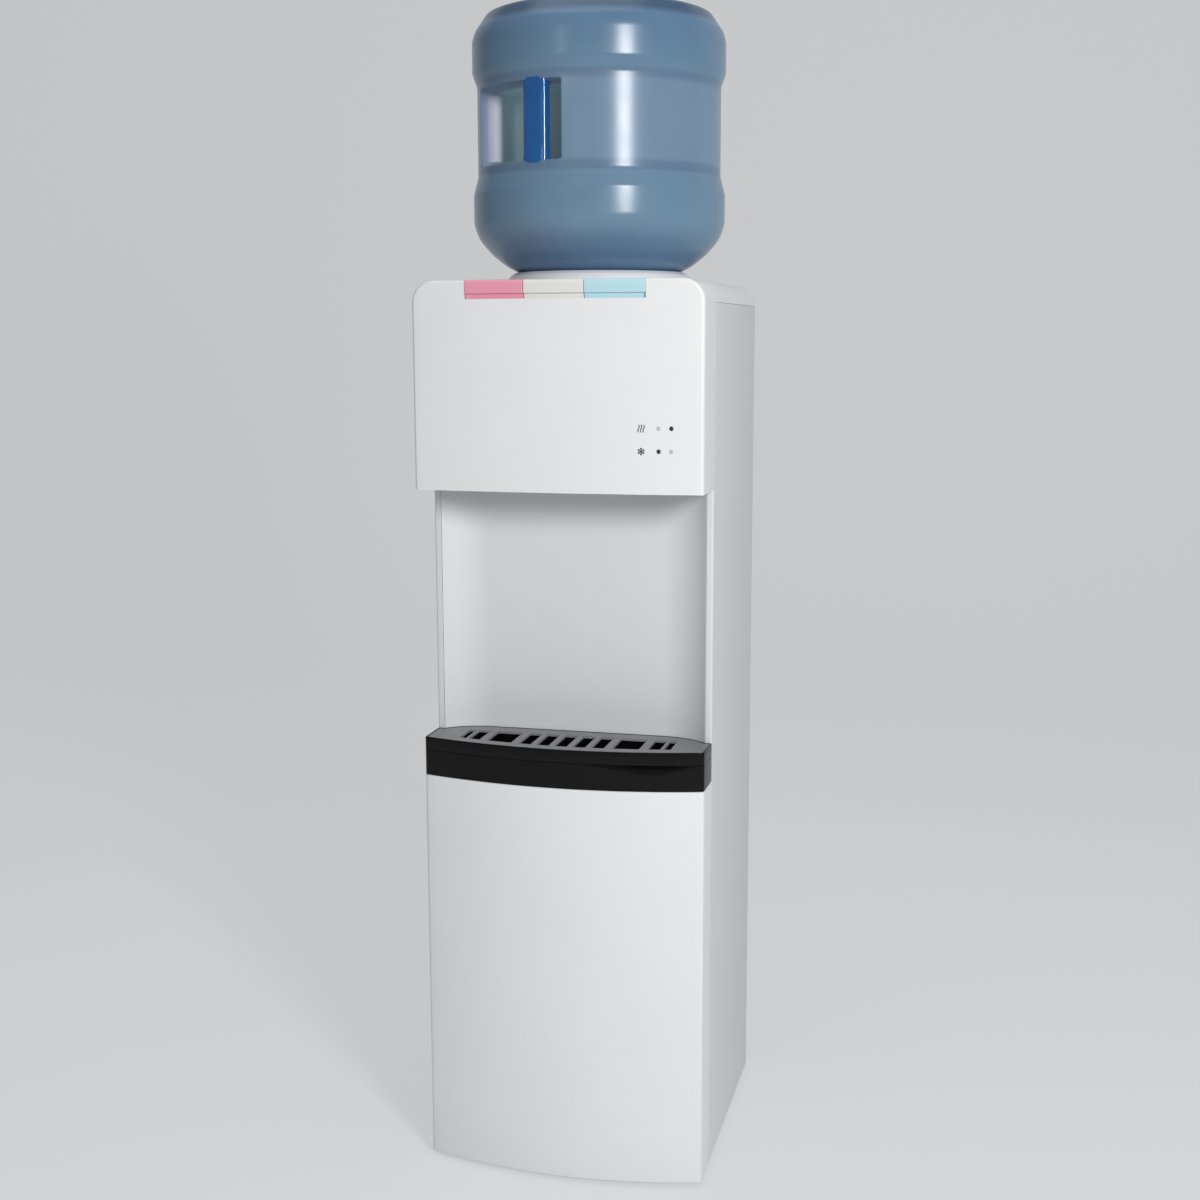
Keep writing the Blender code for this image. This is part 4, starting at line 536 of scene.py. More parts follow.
def bottle_plastic():
    """Clear blue bottle plastic: tinted, glossy, denser where it is seen edge on.

    Painted shade: the colour runs with height between the plain and the deep tint, darker where the bottle
    turns away at its shoulder, ribs and top, with a darker painted band where the base turns in. Painted
    light: over the pocket's height the waist and the pocket's side walls are a clear blue, and the pocket's
    floor has a pale tint, for light let through the bottle into the shadowed pocket; painted shade darkens
    its upper and lower rims. The part of the light that is let straight through falls off towards the
    silhouette.
    """
    bottle = settings("bottle")
    tint, deep = bottle.tint, bottle.deep
    material = finish("bottle_plastic", tint, 0.24, 0.2, clouds=9.0, grain=90.0, relief=0.02)
    tree = material.node_tree
    shader = tree.nodes["Principled BSDF"]
    base = shader.inputs["Base Color"]
    place = add(tree, "TexCoord", "Object")
    height = add(tree, "SeparateXYZ", "Z", Vector=place)
    rise = add(tree, "MapRange", "Result", Value=height, From_Min=COLLAR_TOP, From_Max=BOTTLE_TOP)
    plan = add(tree, "Mapping", "Vector", Vector=place, Location=(0, -BOTTLE_Y, 0), Scale=(1, 1, 0))
    radius = add(tree, "VectorMath", "Value", {"operation": "LENGTH"}, in_0=plan)
    # Painted shade by height, then a darker painted band where the base turns in.
    stops = [(at, blended(tint, deep, depth)) for at, depth in SHADE_DEPTHS]
    stops[-1:-1] = [(at, blended(deep, BLACK, 0.6)) for at in BASE_SHADE_BAND]
    tone = mixed(tree, 0.7, base.links[0].from_socket, ramp(tree, rise, stops))
    lit_band, rims = ramp(tree, rise, POCKET_LIGHT_BAND), ramp(tree, rise, POCKET_RIM_SHADE)
    # Painted light: a lighter clear blue on the waist and the pocket's side walls, and a pale tint on its
    # floor, for light let through the bottle; painted shade on the pocket's upper and lower rims.
    for layer, band, radii in (
        (blended(tuple(bottle.grip), WHITE, 0.3), lit_band, WAIST_LIGHT_RADII),
        (tuple(bottle.pocket_light), lit_band, FLOOR_LIGHT_RADII),
        (blended(deep, BLACK, 0.45), rims, RIM_SHADE_RADII),
    ):
        amount = joined(tree, "MULTIPLY", band, ramp(tree, radius, radii))
        tone = mixed(tree, amount, tone, (*layer, 1))
    tree.links.new(tone, base)
    edge_on = add(tree, "LayerWeight", "Facing", Blend=0.35)
    cover = add(tree, "MapRange", "Result", Value=edge_on, To_Min=0.62, To_Max=0.97)
    tree.links.new(cover, shader.inputs["Alpha"])
    return material


def handle_plastic():
    """The same plastic where it is thick, in the handle: deeper blue and hardly clear."""
    grip = settings("bottle").grip
    return finish("handle_plastic", grip, 0.14, 0.12, clouds=26.0, grain=90.0, relief=0.02, Coat_Weight=0.6)


# Surfaces


def blend_rise(value):
    """The smooth step 3t² − 2t³, with t held between 0 and 1."""
    value = np.clip(value, 0.0, 1.0)
    return value * value * (3 - 2 * value)


def bow_y(x, bow, inset=0.0):
    """The bowed front in plan: y grows with the square of x, by bow at the cabinet's sides."""
    return FRONT + inset + bow * (np.asarray(x) / HALF) ** 2


def turn_arc(centre, radius, start, end, count):
    """Points on a circle: centre + radius times (cos, sin) of angles in degrees, evenly spaced."""
    angle = np.radians(np.linspace(start, end, count))
    return np.stack([centre[0] + radius * np.cos(angle), centre[1] + radius * np.sin(angle)], -1)


def corner_arc(before, corner, after, radius, count=7):
    """The rounding of one corner: an arc that touches both lines, radius·tan(turn/2) from the corner."""
    before, corner, after = (np.asarray(point, float) for point in (before, corner, after))
    coming = (corner - before) / np.linalg.norm(corner - before)
    going = (after - corner) / np.linalg.norm(after - corner)
    side = coming[0] * going[1] - coming[1] * going[0]
    turn = math.atan2(side, float(coming @ going))
    touch = corner - coming * radius * math.tan(abs(turn) / 2)
    across = np.array([-coming[1], coming[0]]) * math.copysign(1, turn)
    centre = touch + across * radius
    angle = np.linspace(0, turn, count)
    spoke = touch - centre
    cos, sin = np.cos(angle), np.sin(angle)
    x = centre[0] + spoke[0] * cos - spoke[1] * sin
    y = centre[1] + spoke[0] * sin + spoke[1] * cos
    return np.stack([x, y], -1)


def softened(corners, radii, closed=False, count=7):
    """A line of straight runs with its corners rounded; a corner with no radius stays as it is."""
    corners = np.asarray(corners, float)
    runs = []
    for place, radius in enumerate(radii):
        inner = closed or 0 < place < len(corners) - 1
        if radius and inner:
            before, after = corners[place - 1], corners[(place + 1) % len(corners)]
            runs.append(corner_arc(before, corners[place], after, radius, count))
        else:
            runs.append(corners[place : place + 1])
    line = np.concatenate(runs)
    return np.concatenate([line, line[:1]]) if closed else line


def right_normals(line):
    """Unit normals to the right of a line: the mean of its two runs' directions, turned a quarter."""
    steps = np.diff(line, axis=0)
    steps = steps / np.maximum(np.linalg.norm(steps, axis=1, keepdims=True), 1e-12)
    way = np.concatenate([steps, steps[-1:]]) + np.concatenate([steps[:1], steps])
    way = way / np.linalg.norm(way, axis=1, keepdims=True)
    return np.stack([way[:, 1], -way[:, 0]], -1)


def upright_sweep(line, profile):
    """A plan line carried up a profile of (out, height), moved out along its normals in each row."""
    normals = right_normals(line)
    profile = np.asarray(profile, float)
    plan = line[None] + normals[None] * profile[:, :1, None]
    heights = np.broadcast_to(profile[:, 1, None, None], (*plan.shape[:2], 1))
    return np.concatenate([plan, heights], -1)


def ruled(first, second, count):
    """The flat or ruled sheet between two lines of as many points: straight runs from one to the other."""
    t = np.linspace(0, 1, count)[:, None, None]
    return np.asarray(first)[None] * (1 - t) + np.asarray(second)[None] * t


def level(line, height):
    """A plan line set at a height."""
    return np.concatenate([line, np.full((len(line), 1), height)], -1)


def turned(profile, axis=BOTTLE_AXIS, count=ROUND, along=Z, wobble=None):
    """A profile of (radius, place) turned round an upright axis, or one along y where it is asked.

    wobble adds a length to the radius as a function of the angle and the place, for ribs.
    """
    profile = np.asarray(profile, float)
    angle = np.linspace(0, 2 * math.pi, count + 1)
    radius = np.broadcast_to(profile[:, :1], (len(profile), count + 1))
    places = np.broadcast_to(profile[:, 1:], radius.shape)
    if wobble is not None:
        radius = radius + wobble(angle[None], places) * (radius > 0)
    across, beside = axis[0] + radius * np.cos(angle), axis[1] + radius * np.sin(angle)
    return np.stack([across, places, beside] if along == Y else [across, beside, places], -1)


def ribs(height, count, start, end, fade):
    """A wobble for a cap's ribs: the upper halves of a cosine, faded in after start and out before end."""

    def wobble(angle, place):
        """The ribs' height at an angle and a place."""
        rib = height * np.clip(np.cos(angle * count), 0, 1)
        return rib * blend_rise((place - start) / fade) * blend_rise((end - place) / fade)

    return wobble


def round_profile(corners, millimetres, count=6):
    """A profile with each of its corners rounded by a radius in millimetres, or left where it is 0."""
    return softened(corners, [radius * MM for radius in millimetres], count=count)


def tube(line, radius, count=10, up=(0, 0, 1)):
    """A round tube along a line, with domed ends.

    At each point the ring stands square to the line's direction, on the side axis up × direction.
    """
    line = np.asarray(line, float)
    way = np.gradient(line, axis=0)
    way /= np.linalg.norm(way, axis=1, keepdims=True)
    side = np.cross(np.broadcast_to(np.asarray(up, float), way.shape), way)
    side /= np.maximum(np.linalg.norm(side, axis=1, keepdims=True), 1e-9)
    rise = np.cross(way, side)
    angle = np.linspace(0, 2 * math.pi, count + 1)
    ring = side[:, None] * np.cos(angle)[None, :, None] + rise[:, None] * np.sin(angle)[None, :, None]
    body = line[:, None] + ring * radius
    ends = []
    for end, sense in ((0, -1), (-1, 1)):
        turn = np.radians([0, 30, 60, 90])[:, None, None]
        reach = line[end] + sense * way[end] * radius * np.sin(turn) * 0.5
        dome = reach + ring[end][None] * radius * np.cos(turn)
        ends.append(dome[::-1] if end == 0 else dome)
    return np.concatenate([ends[0][:-1], body, ends[1][1:]])


def slab(lowest, highest, radius):
    """A rounded block as one closed sweep up its height.

    Its plan is a rectangle with rounded corners, drawn in by radius·(1 − cos) near its top and bottom.
    """
    lowest, highest = np.asarray(lowest, float), np.asarray(highest, float)
    turn = np.radians(np.linspace(90, 0, 4))
    draws = radius * (1 - np.cos(turn))
    lifts = radius * (1 - np.sin(turn))
    inset = np.concatenate([draws, draws[::-1]])
    height = np.concatenate([lowest[Z] + lifts, highest[Z] - lifts[::-1]])
    x0, y0, x1, y1 = lowest[X], lowest[Y], highest[X], highest[Y]
    plan = softened([(x0, y0), (x1, y0), (x1, y1), (x0, y1)], [radius] * 4, closed=True, count=4)
    centre = (lowest[:2] + highest[:2]) / 2
    size = (highest[:2] - lowest[:2]) / 2
    drawn = centre + (plan - centre)[None] * (1 - inset[:, None, None] / size)
    rows = np.concatenate([drawn, np.broadcast_to(height[:, None, None], (*drawn.shape[:2], 1))], -1)
    floor = np.broadcast_to([*centre, lowest[Z]], rows[:1].shape)
    lid = np.broadcast_to([*centre, highest[Z]], rows[:1].shape)
    return np.concatenate([floor, rows, lid])


# Pieces


def joined_grids(grids):
    """Points and quads of several grids: each square of a grid's points is one face."""
    points, faces, first = [], [], 0
    for grid in grids:
        rows, columns = grid.shape[:2]
        at = (np.arange(rows - 1)[:, None] * columns + np.arange(columns - 1)[None]).reshape(-1, 1)
        faces.append(first + at + np.array([[0, 1, columns + 1, columns]]))
        points.append(grid.reshape(-1, 3))
        first += rows * columns
    return np.concatenate(points), np.concatenate(faces)


def faces_inward(mesh, inner):
    """Whether an open shell's faces look towards an inner point, weighed by their areas."""
    count = len(mesh.polygons)
    normals, centres, areas = np.empty(count * 3), np.empty(count * 3), np.empty(count)
    mesh.polygons.foreach_get("normal", normals)
    mesh.polygons.foreach_get("center", centres)
    mesh.polygons.foreach_get("area", areas)
    away = centres.reshape(-1, 3) - np.asarray(inner, float)
    return ((normals.reshape(-1, 3) * away).sum(1) * areas).sum() < 0


def mark_rims_sharp(mesh):
    """Marks the open edges sharp, so that a wall's rim is shaded apart from its face."""
    uses = np.empty(len(mesh.loops), np.int32)
    mesh.loops.foreach_get("edge_index", uses)
    sharp = mesh.attributes.get("sharp_edge") or mesh.attributes.new("sharp_edge", "BOOLEAN", "EDGE")
    marks = np.empty(len(mesh.edges), bool)
    sharp.data.foreach_get("value", marks)
    marks |= np.bincount(uses, minlength=len(mesh.edges)) == 1
    sharp.data.foreach_set("value", marks)


def piece(name, grids, material, slot, *nodes, body="cabinet", wall=0.0, rim=0.0, inner=None, sharp=SHARP):
    """Makes one piece from its grids, in place of the nodes that it stands for, and sets it on its body.

    wall gives an open surface its thickness, inwards; rim rounds what is left sharp. inner is a point that
    an open surface faces away from.
    """
    points, faces = joined_grids([np.asarray(grid, float) for grid in grids])
    mesh = bpy.data.meshes.new(name)
    mesh.from_pydata(points.tolist(), [], faces.tolist())
    work = bmesh.new()
    work.from_mesh(mesh)
    bmesh.ops.remove_doubles(work, verts=work.verts, dist=WELD)
    bmesh.ops.dissolve_degenerate(work, edges=work.edges, dist=WELD / 4)
    bmesh.ops.recalc_face_normals(work, faces=work.faces)
    work.to_mesh(mesh)
    work.free()
    if inner is not None and faces_inward(mesh, inner):
        mesh.flip_normals()
    mesh.shade_smooth()
    mesh.set_sharp_from_angle(angle=sharp)
    if wall:
        mark_rims_sharp(mesh)
    mesh.materials.append(material)
    made = bpy.data.objects.new(name, mesh)
    bpy.context.scene.collection.objects.link(made)
    if wall:
        thick = made.modifiers.new("wall", "SOLIDIFY")
        thick.thickness = wall
        thick.offset = -1
        thick.use_even_offset = True
        thick.use_quality_normals = True
    if rim:
        edge = made.modifiers.new("rim", "BEVEL")
        edge.width = rim
        edge.segments = 2
        edge.limit_method = "ANGLE"
        edge.angle_limit = math.radians(50)
        edge.harden_normals = True
    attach(made, body)
    if nodes:
        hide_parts(*nodes)
    return made


def dress(material, *nodes):
    """Gives solids that keep their own shape their finish."""
    for node in nodes:
        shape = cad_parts[node]
        shape.data.materials.clear()
        shape.data.materials.append(material)


# Cabinet


def bowed_front(bow, back, radius, inset=0.0, count=41):
    """The bowed front with its two sides in plan, from left rear to right rear.

    y = front + inset + bow·(x/half)², with an arc of the edge radius where it meets each side.
    """
    half = HALF - inset
    reach = half - radius
    x = np.linspace(-reach, reach, count)
    front = np.stack([x, bow_y(x, bow, inset)], -1)
    corner = (-half, float(bow_y(half, bow, inset)))
    left = corner_arc((-half, back), corner, front[0], radius)
    left = left + blend_rise(np.linspace(0, 1, len(left)))[:, None] * (front[0] - left[-1])
    right = left[::-1] * (-1, 1)
    return np.concatenate([[(-half, back)], left[:-1], front, right[1:], [(half, back)]])


def head_outline():
    """The left half of the head's outline in front view, from its lower corner to the buttons' notch.

    A straight side, a quarter circle of the corner radius, then a level run to the buttons. One point of
    the arc is put where its inner copy meets the notch's height.
    """
    cabinet = settings("cabinet")
    radius, edge = cabinet.corner_radius, cabinet.edge_radius
    shoulder = CABINET_TOP - radius
    notch_turn = math.degrees(math.asin((NOTCH_Z - shoulder) / (radius - edge)))
    side = np.linspace(HEAD_BOTTOM, shoulder, 7)[:-1]
    side = np.stack([np.full(len(side), -HALF), side], -1)
    first = turn_arc((-HALF + radius, shoulder), radius, 180, 180 - notch_turn, 3)
    second = turn_arc((-HALF + radius, shoulder), radius, 180 - notch_turn, 90, 12)[1:]
    top = np.stack([np.linspace(-HALF + radius, -NOTCH_HALF, 9)[1:], np.full(8, CABINET_TOP)], -1)
    meets_notch = len(side) + len(first) - 1
    meets_top = len(side) + len(first) + len(second) - 1
    return np.concatenate([side, first, second, top]), meets_notch, meets_top


def head_point(plan, back):
    """Front-view points set on the bowed front, and then moved back: y = front + bow·(x/half)² + back."""
    bow = settings("cabinet").head_bow
    return np.stack([plan[..., 0], bow_y(plan[..., 0], bow) + back, plan[..., 1]], -1)


def head_grids():
    """The head's front, its rounded edge and its sides.

    The edge rows draw the outline in by r·(1 − sin t) while they go back by r·(1 − cos t), for t from 0
    to 90°; the last row lies on the seam. Level rows across the front join the two drawn-in sides.
    """
    edge = settings("cabinet").edge_radius
    outline, meets_notch, meets_top = head_outline()
    inward = right_normals(outline)
    turn = np.radians(np.linspace(0, 90, 8))
    draw = edge * (1 - np.sin(turn))
    rows = outline[None] + inward[None] * draw[:, None, None]
    rounding = head_point(rows, (edge * (1 - np.cos(turn)))[:, None])
    side = head_point(outline[None], edge)
    seam = side.copy()
    seam[..., Y] = SEAM_Y
    wall = ruled(side[0], seam[0], 4)
    inner = rows[0]
    lower = inner[: meets_notch + 1]
    to_notch = np.stack([np.full(len(lower), -NOTCH_HALF), lower[:, 1]], -1)
    cheek_low = ruled(lower, to_notch, 9).transpose(1, 0, 2)
    centre = ruled(to_notch, to_notch * (-1, 1), 25).transpose(1, 0, 2)
    upper = inner[meets_notch : meets_top + 1]
    to_top = np.stack([np.full(len(upper), -NOTCH_HALF), upper[:, 1]], -1)
    cheek_high = ruled(upper, to_top, 9).transpose(1, 0, 2)
    flats = [head_point(flat, 0.0) for flat in (cheek_low, centre, cheek_high)]
    halves = [rounding, wall, flats[0], flats[2]]
    return [*halves, *(half * (-1, 1, 1) for half in halves), flats[1]]


class COOLER_OT_head(bpy.types.Operator):
    """Make the head panel: the bowed white front above the niche, with its two rounded upper corners"""

    bl_idname = "cooler.head"
    bl_label = "Head panel"

    def execute(self, context):
        cabinet = settings("cabinet")
        piece(
            "head_shell",
            head_grids(),
            shell_white(),
            "white_shell",
            "head_panel",
            wall=cabinet.wall,
            rim=cabinet.rim,
            inner=(0, 0, middle("head_panel")[Z]),
        )
        return {"FINISHED"}


COLLAR_HOLE = 81.2 * MM  # The radius of the cover's hole, which the collar fills.


def cover_grids():
    """The top cover: a level plate round the bottle's seat, two rolled shoulders and a rolled rear edge.

    The plate's rows are straight runs from the hole's circle to its rectangular border. The shoulders are
    quarter circles carried from front to rear, and the rear edge draws the whole outline in by
    r·(1 − sin t) as it goes back by r·(1 − cos t).
    """
    cabinet = settings("cabinet")
    radius, edge = cabinet.corner_radius, cabinet.edge_radius
    front = low("top_cover")[Y]
    rear = REAR - edge
    flat = HALF - radius
    steps, bends = 33, 13
    depth = np.linspace(front, rear, steps)
    width = np.linspace(-flat, flat, steps)
    right = np.stack([np.full(steps, flat), depth], -1)
    back = np.stack([width[::-1], np.full(steps, rear)], -1)
    left, fore = (right * (-1, 1))[::-1], (back * (1, 0) + (0, front))[::-1]
    border = np.concatenate([right, back[1:], left[1:], fore[1:]])
    spoke = border - BOTTLE_AXIS
    ring = BOTTLE_AXIS + spoke / np.linalg.norm(spoke, axis=1, keepdims=True) * COLLAR_HOLE
    plate = level(ruled(ring, border, 5).reshape(-1, 2), CABINET_TOP).reshape(5, -1, 3)
    shoulder = turn_arc((-flat, CABINET_TOP - radius), radius, 180, 90, bends)
    top = np.stack([width[1:-1], np.full(steps - 2, CABINET_TOP)], -1)
    line = np.concatenate([shoulder, top, shoulder[::-1] * (-1, 1)])
    strip = np.insert(shoulder[None].repeat(steps, 0), 1, depth[:, None], axis=-1)
    turn = np.radians(np.linspace(90, 0, 8))
    drawn = line[None] + right_normals(line)[None] * (edge * (1 - np.sin(turn)))[:, None, None]
    rolled = np.insert(drawn, 1, (rear + edge * np.cos(turn))[:, None], axis=-1)
    left_side, right_side = drawn[-1][:bends], drawn[-1][::-1][:bends]
    face = ruled(left_side, right_side, steps).transpose(1, 0, 2)
    return [plate, strip, strip * (-1, 1, 1), rolled, np.insert(face, 1, REAR, axis=-1)]


class COOLER_OT_cover(bpy.types.Operator):
    """Make the top cover: the white plate behind the buttons that carries the bottle's collar"""

    bl_idname = "cooler.cover"
    bl_label = "Top cover"

    def execute(self, context):
        cabinet = settings("cabinet")
        piece(
            "cover_shell",
            cover_grids(),
            shell_white(),
            "white_shell",
            "top_cover",
            wall=cabinet.wall,
            rim=cabinet.rim,
            inner=(0, middle("top_cover")[Y], SHOULDER_Z - 60 * MM),
        )
        return {"FINISHED"}


class COOLER_OT_sides(bpy.types.Operator):
    """Make the two side panels: painted sheet, folded to a flange in front and a lip behind"""

    bl_idname = "cooler.sides"
    bl_label = "Side panels"

    def execute(self, context):
        cabinet = settings("cabinet")
        fold = cabinet.corner_fold
        for name, side in (("left", -1), ("right", 1)):
            lowest, highest = low(f"{name}_side_panel"), high(f"{name}_side_panel")
            flange = side * (HALF - cabinet.flange)
            lip = side * min(abs(lowest[X]), abs(highest[X]))
            plan = [(flange, lowest[Y]), (side * HALF, lowest[Y]), (side * HALF, REAR), (lip, REAR)]
            line = softened(plan, [0, fold, fold, 0])
            heights = np.linspace(lowest[Z], highest[Z], 5)
            sheet = np.stack([level(line, height) for height in heights])
            piece(
                f"{name}_side_sheet",
                [sheet],
                painted_white(),
                "white_sheet",
                f"{name}_side_panel",
                wall=cabinet.sheet,
                rim=0.25 * MM,
                inner=(0, middle("top_cover")[Y], middle(f"{name}_side_panel")[Z]),
            )
        return {"FINISHED"}


def niche_line(offset=0.0, reach=1.0):
    """The niche's back in plan: flat in the middle, then an arc of the niche's radius at each side.

    The arc runs until it has come forward to the flanges; reach shortens it.
    """
    cabinet = settings("cabinet")
    radius, depth = cabinet.niche_radius, cabinet.niche_depth
    flat = HALF - cabinet.flange - math.sqrt(radius**2 - (radius - depth) ** 2)
    flange_y = low("top_cover")[Y]
    centre = (flat, flange_y + depth - radius)
    last = math.degrees(math.acos((radius - depth) / radius)) * reach
    arc = turn_arc(centre, radius + offset, 90, 90 - last, 15)
    return np.concatenate([(arc * (-1, 1))[::-1], arc])


class COOLER_OT_niche(bpy.types.Operator):
    """Make the niche's concave back, and give the plate over it its finish"""

    bl_idname = "cooler.niche"
    bl_label = "Cup niche"

    def execute(self, context):
        cabinet = settings("cabinet")
        heights = np.linspace(NICHE_LOW, NICHE_TOP, 7)
        line = niche_line(reach=0.985)
        sheet = np.stack([level(line, height) for height in heights])
        piece(
            "niche_back",
            [sheet],
            liner_grey(),
            "grey_liner",
            "niche_liner",
            wall=cabinet.wall,
            rim=cabinet.rim,
            inner=(0, REAR, middle("niche_liner")[Z]),
        )
        dress(liner_grey(), "head_floor")
        return {"FINISHED"}


class COOLER_OT_lower_front(bpy.types.Operator):
    """Make the lower front panel: a tall bowed white shell from the floor to the tray"""

    bl_idname = "cooler.lower_front"
    bl_label = "Lower front"

    def execute(self, context):
        cabinet = settings("cabinet")
        line = bowed_front(cabinet.front_bow, high("lower_front_panel")[Y], cabinet.edge_radius)
        edge, straight = 1.2 * MM, 50 * MM
        turn = np.radians(np.linspace(0, 90, 5))
        foot = np.stack([-edge * (1 - np.sin(turn)), PANEL_BOTTOM + edge * (1 - np.cos(turn))], -1)
        top = np.stack([foot[::-1, 0], PANEL_TOP - edge * (1 - np.cos(turn[::-1]))], -1)
        face = np.stack([np.zeros(7), np.linspace(PANEL_BOTTOM + straight, PANEL_TOP - straight, 7)], -1)
        profile = np.concatenate([foot, face, top])
        piece(
            "lower_front_shell",
            [upright_sweep(line, profile)],
            shell_white(),
            "white_shell",
            "lower_front_panel",
            wall=cabinet.wall,
            rim=0.2 * MM,
            inner=(0, 0, middle("lower_front_panel")[Z]),
        )
        return {"FINISHED"}


# Drip tray


def scoop(x, height):
    """How far the band is drawn in under the tray's lip, as a finger scoop right of the middle.

    The depth is the product of two smooth steps: along x it rises from the scoop's start to its fullest
    and falls again to its end; in height it falls from full at the band's top to nothing, and the height
    that it reaches down to follows the same crescent.
    """
    tray = settings("tray")
    start, rise, end, fall = 30 * MM, 60 * MM, 143 * MM, 34 * MM
    along = blend_rise((x - start) / rise) * blend_rise((end - x) / fall)
    reach = tray.scoop_low * (0.25 + 0.75 * along)
    down = blend_rise(1 - (BAND_TOP - height) / reach)
    return tray.scoop_depth * along * down


def band_grid():
    """The band's bowed wall: the bowed plan carried up, each point drawn back by the scoop's depth there.

    The rows are close together over the scoop, and the two sides keep clear of it.
    """
    cabinet = settings("cabinet")
    line = bowed_front(cabinet.front_bow, high("lower_front_panel")[Y], cabinet.edge_radius, count=121)
    fine = BAND_TOP - 7 * MM
    heights = np.concatenate([np.linspace(BAND_BOTTOM, fine, 6)[:-1], np.linspace(fine, BAND_TOP, 22)])
    wall = upright_sweep(line, np.stack([np.zeros(len(heights)), heights], -1))
    on_front = np.abs(wall[..., X]) < HALF - 2 * cabinet.edge_radius
    wall[..., Y] += scoop(wall[..., X], wall[..., Z]) * on_front
    return wall


def plan_plate(front_line, back_line, low_z, high_z):
    """A plate between two plan lines of as many points: its lid, its floor and the wall between them."""
    sheet = ruled(front_line, back_line, 5)
    rows, columns = sheet.shape[:2]
    lid = level(sheet.reshape(-1, 2), high_z).reshape(rows, columns, 3)
    floor = level(sheet.reshape(-1, 2), low_z).reshape(rows, columns, 3)
    rim = np.concatenate([sheet[0], sheet[1:, -1], sheet[-1][::-1][1:], sheet[:, 0][::-1][1:]])
    walls = np.stack([level(rim, low_z), level(rim, high_z)])
    return [lid, floor, walls]


NICHE_GAP = 0.6 * MM  # Between the tray and the niche's back.
FLANGE_GAP = 0.9 * MM  # Between the tray and the side panels' flanges.
LOOP = 81  # Points along the bowed front of each closed plan line of the tray.


def tray_loop(inset):
    """The tray's rim in plan, as one closed line drawn in by an inset.

    The bowed front and its sides as far as the seam, then back along the niche's two arcs and its flat.
    """
    cabinet = settings("cabinet")
    seam = SEAM_Y - inset
    front = bowed_front(cabinet.front_bow, seam, max(cabinet.edge_radius - inset, 0.4 * MM), inset, LOOP)
    back = niche_line(-NICHE_GAP - inset, reach=0.97)
    limit = HALF - cabinet.flange - FLANGE_GAP - inset
    back[:, 0] = np.clip(back[:, 0], -limit, limit)
    back[:, 1] = np.maximum(back[:, 1], seam)
    return np.concatenate([front, [(limit, seam)], back[::-1], [(-limit, seam)], front[:1]])


def basin_loop(inset):
    """The basin in plan, with as many points as the rim: the bowed front, and a narrower part behind."""
    cabinet = settings("cabinet")
    wall = cabinet.wall + settings("tray").scoop_depth + 0.6 * MM + inset
    seam = SEAM_Y - cabinet.wall - inset
    front = bowed_front(cabinet.front_bow, seam, max(cabinet.edge_radius - wall, 1.4 * MM), wall, LOOP)
    half, run, bend = 128 * MM - inset, seam + 10 * MM, 5 * MM
    tongue = [(half, seam), (half, run), (-half, run), (-half, seam)]
    tongue = softened(tongue, [0, bend, bend, 0], count=15)
    return np.concatenate([front, tongue, front[:1]])


def closing_rows(loop, height):
    """The flat inside a closed plan line: the line drawn to its middle in two steps."""
    heart = np.broadcast_to((0.0, -122 * MM), loop.shape)
    return [level(loop * (1 - t) + heart * t, height) for t in (0.5, 1.0)]


def tray_grids():
    """The lift-out tray as three grids that close: rim and basin, the basin's outside, the lip's underside.

    Every row is a closed plan line of as many points. The rim's rounding draws in by r·(1 − cos t) as it
    rises by r·sin t, and so does the rounding under the basin as it drops.
    """
    edge = settings("tray").lip_radius
    lip_low = BAND_TOP + 0.3 * MM
    step = lip_low + 2.5 * MM
    turn = np.radians(np.linspace(0, 90, 6))
    inside = [(0.5 * MM, lip_low), (0.1 * MM, lip_low + 0.15 * MM), (0.0, lip_low + 0.6 * MM)]
    inside += list(zip(edge * (1 - np.cos(turn)), TRAY_TOP - edge + edge * np.sin(turn)))
    rebate = TRAY_TOP - 3.3 * MM
    inside += [(1.8 * MM, TRAY_TOP), (2.0 * MM, TRAY_TOP - 0.2 * MM), (2.0 * MM, rebate)]
    rows = [level(tray_loop(inset), height) for inset, height in inside]
    outer, inner = tray_loop(2.1 * MM), basin_loop(2.5 * MM)
    rows += [level(outer * (1 - t) + inner * t, rebate) for t in (0.0, 0.5, 0.94)]
    floor = TRAY_LOW + 2.5 * MM
    for inset, height in ((2.5, 5.2), (2.7, 3.0), (3.6, 0.9), (5.6, 0.0)):
        top = rebate - 0.6 * MM if height > 5 else floor + height * MM
        rows.append(level(basin_loop(inset * MM), top))
    rows += closing_rows(basin_loop(5.6 * MM), floor)
    under = 2.5 * MM
    drops = [(0.0, step + 0.3 * MM), (0.0, TRAY_LOW + under)]
    drops += list(zip(under * (1 - np.cos(turn[1:])), TRAY_LOW + under - under * np.sin(turn[1:])))
    outside = [level(basin_loop(inset), height) for inset, height in drops]
    outside += closing_rows(basin_loop(under), TRAY_LOW)
    lip = [level(tray_loop(0.5 * MM), lip_low), level(tray_loop(2.2 * MM), lip_low + 0.1 * MM)]
    lip += [level(tray_loop(2.2 * MM), step), level(basin_loop(0.0), step + 0.3 * MM)]
    return [np.stack(rows), np.stack(outside), np.stack(lip)]


# Each slot's middle and width, as shares of half the cabinet's width.
SIDE_SLOTS = ((0.13, 0.09), (0.26, 0.09), (0.453, 0.185), (0.645, 0.085), (0.733, 0.05))
GRILLE_SLOTS = (*((-at, width) for at, width in reversed(SIDE_SLOTS)), (0.0, 0.09), *SIDE_SLOTS)


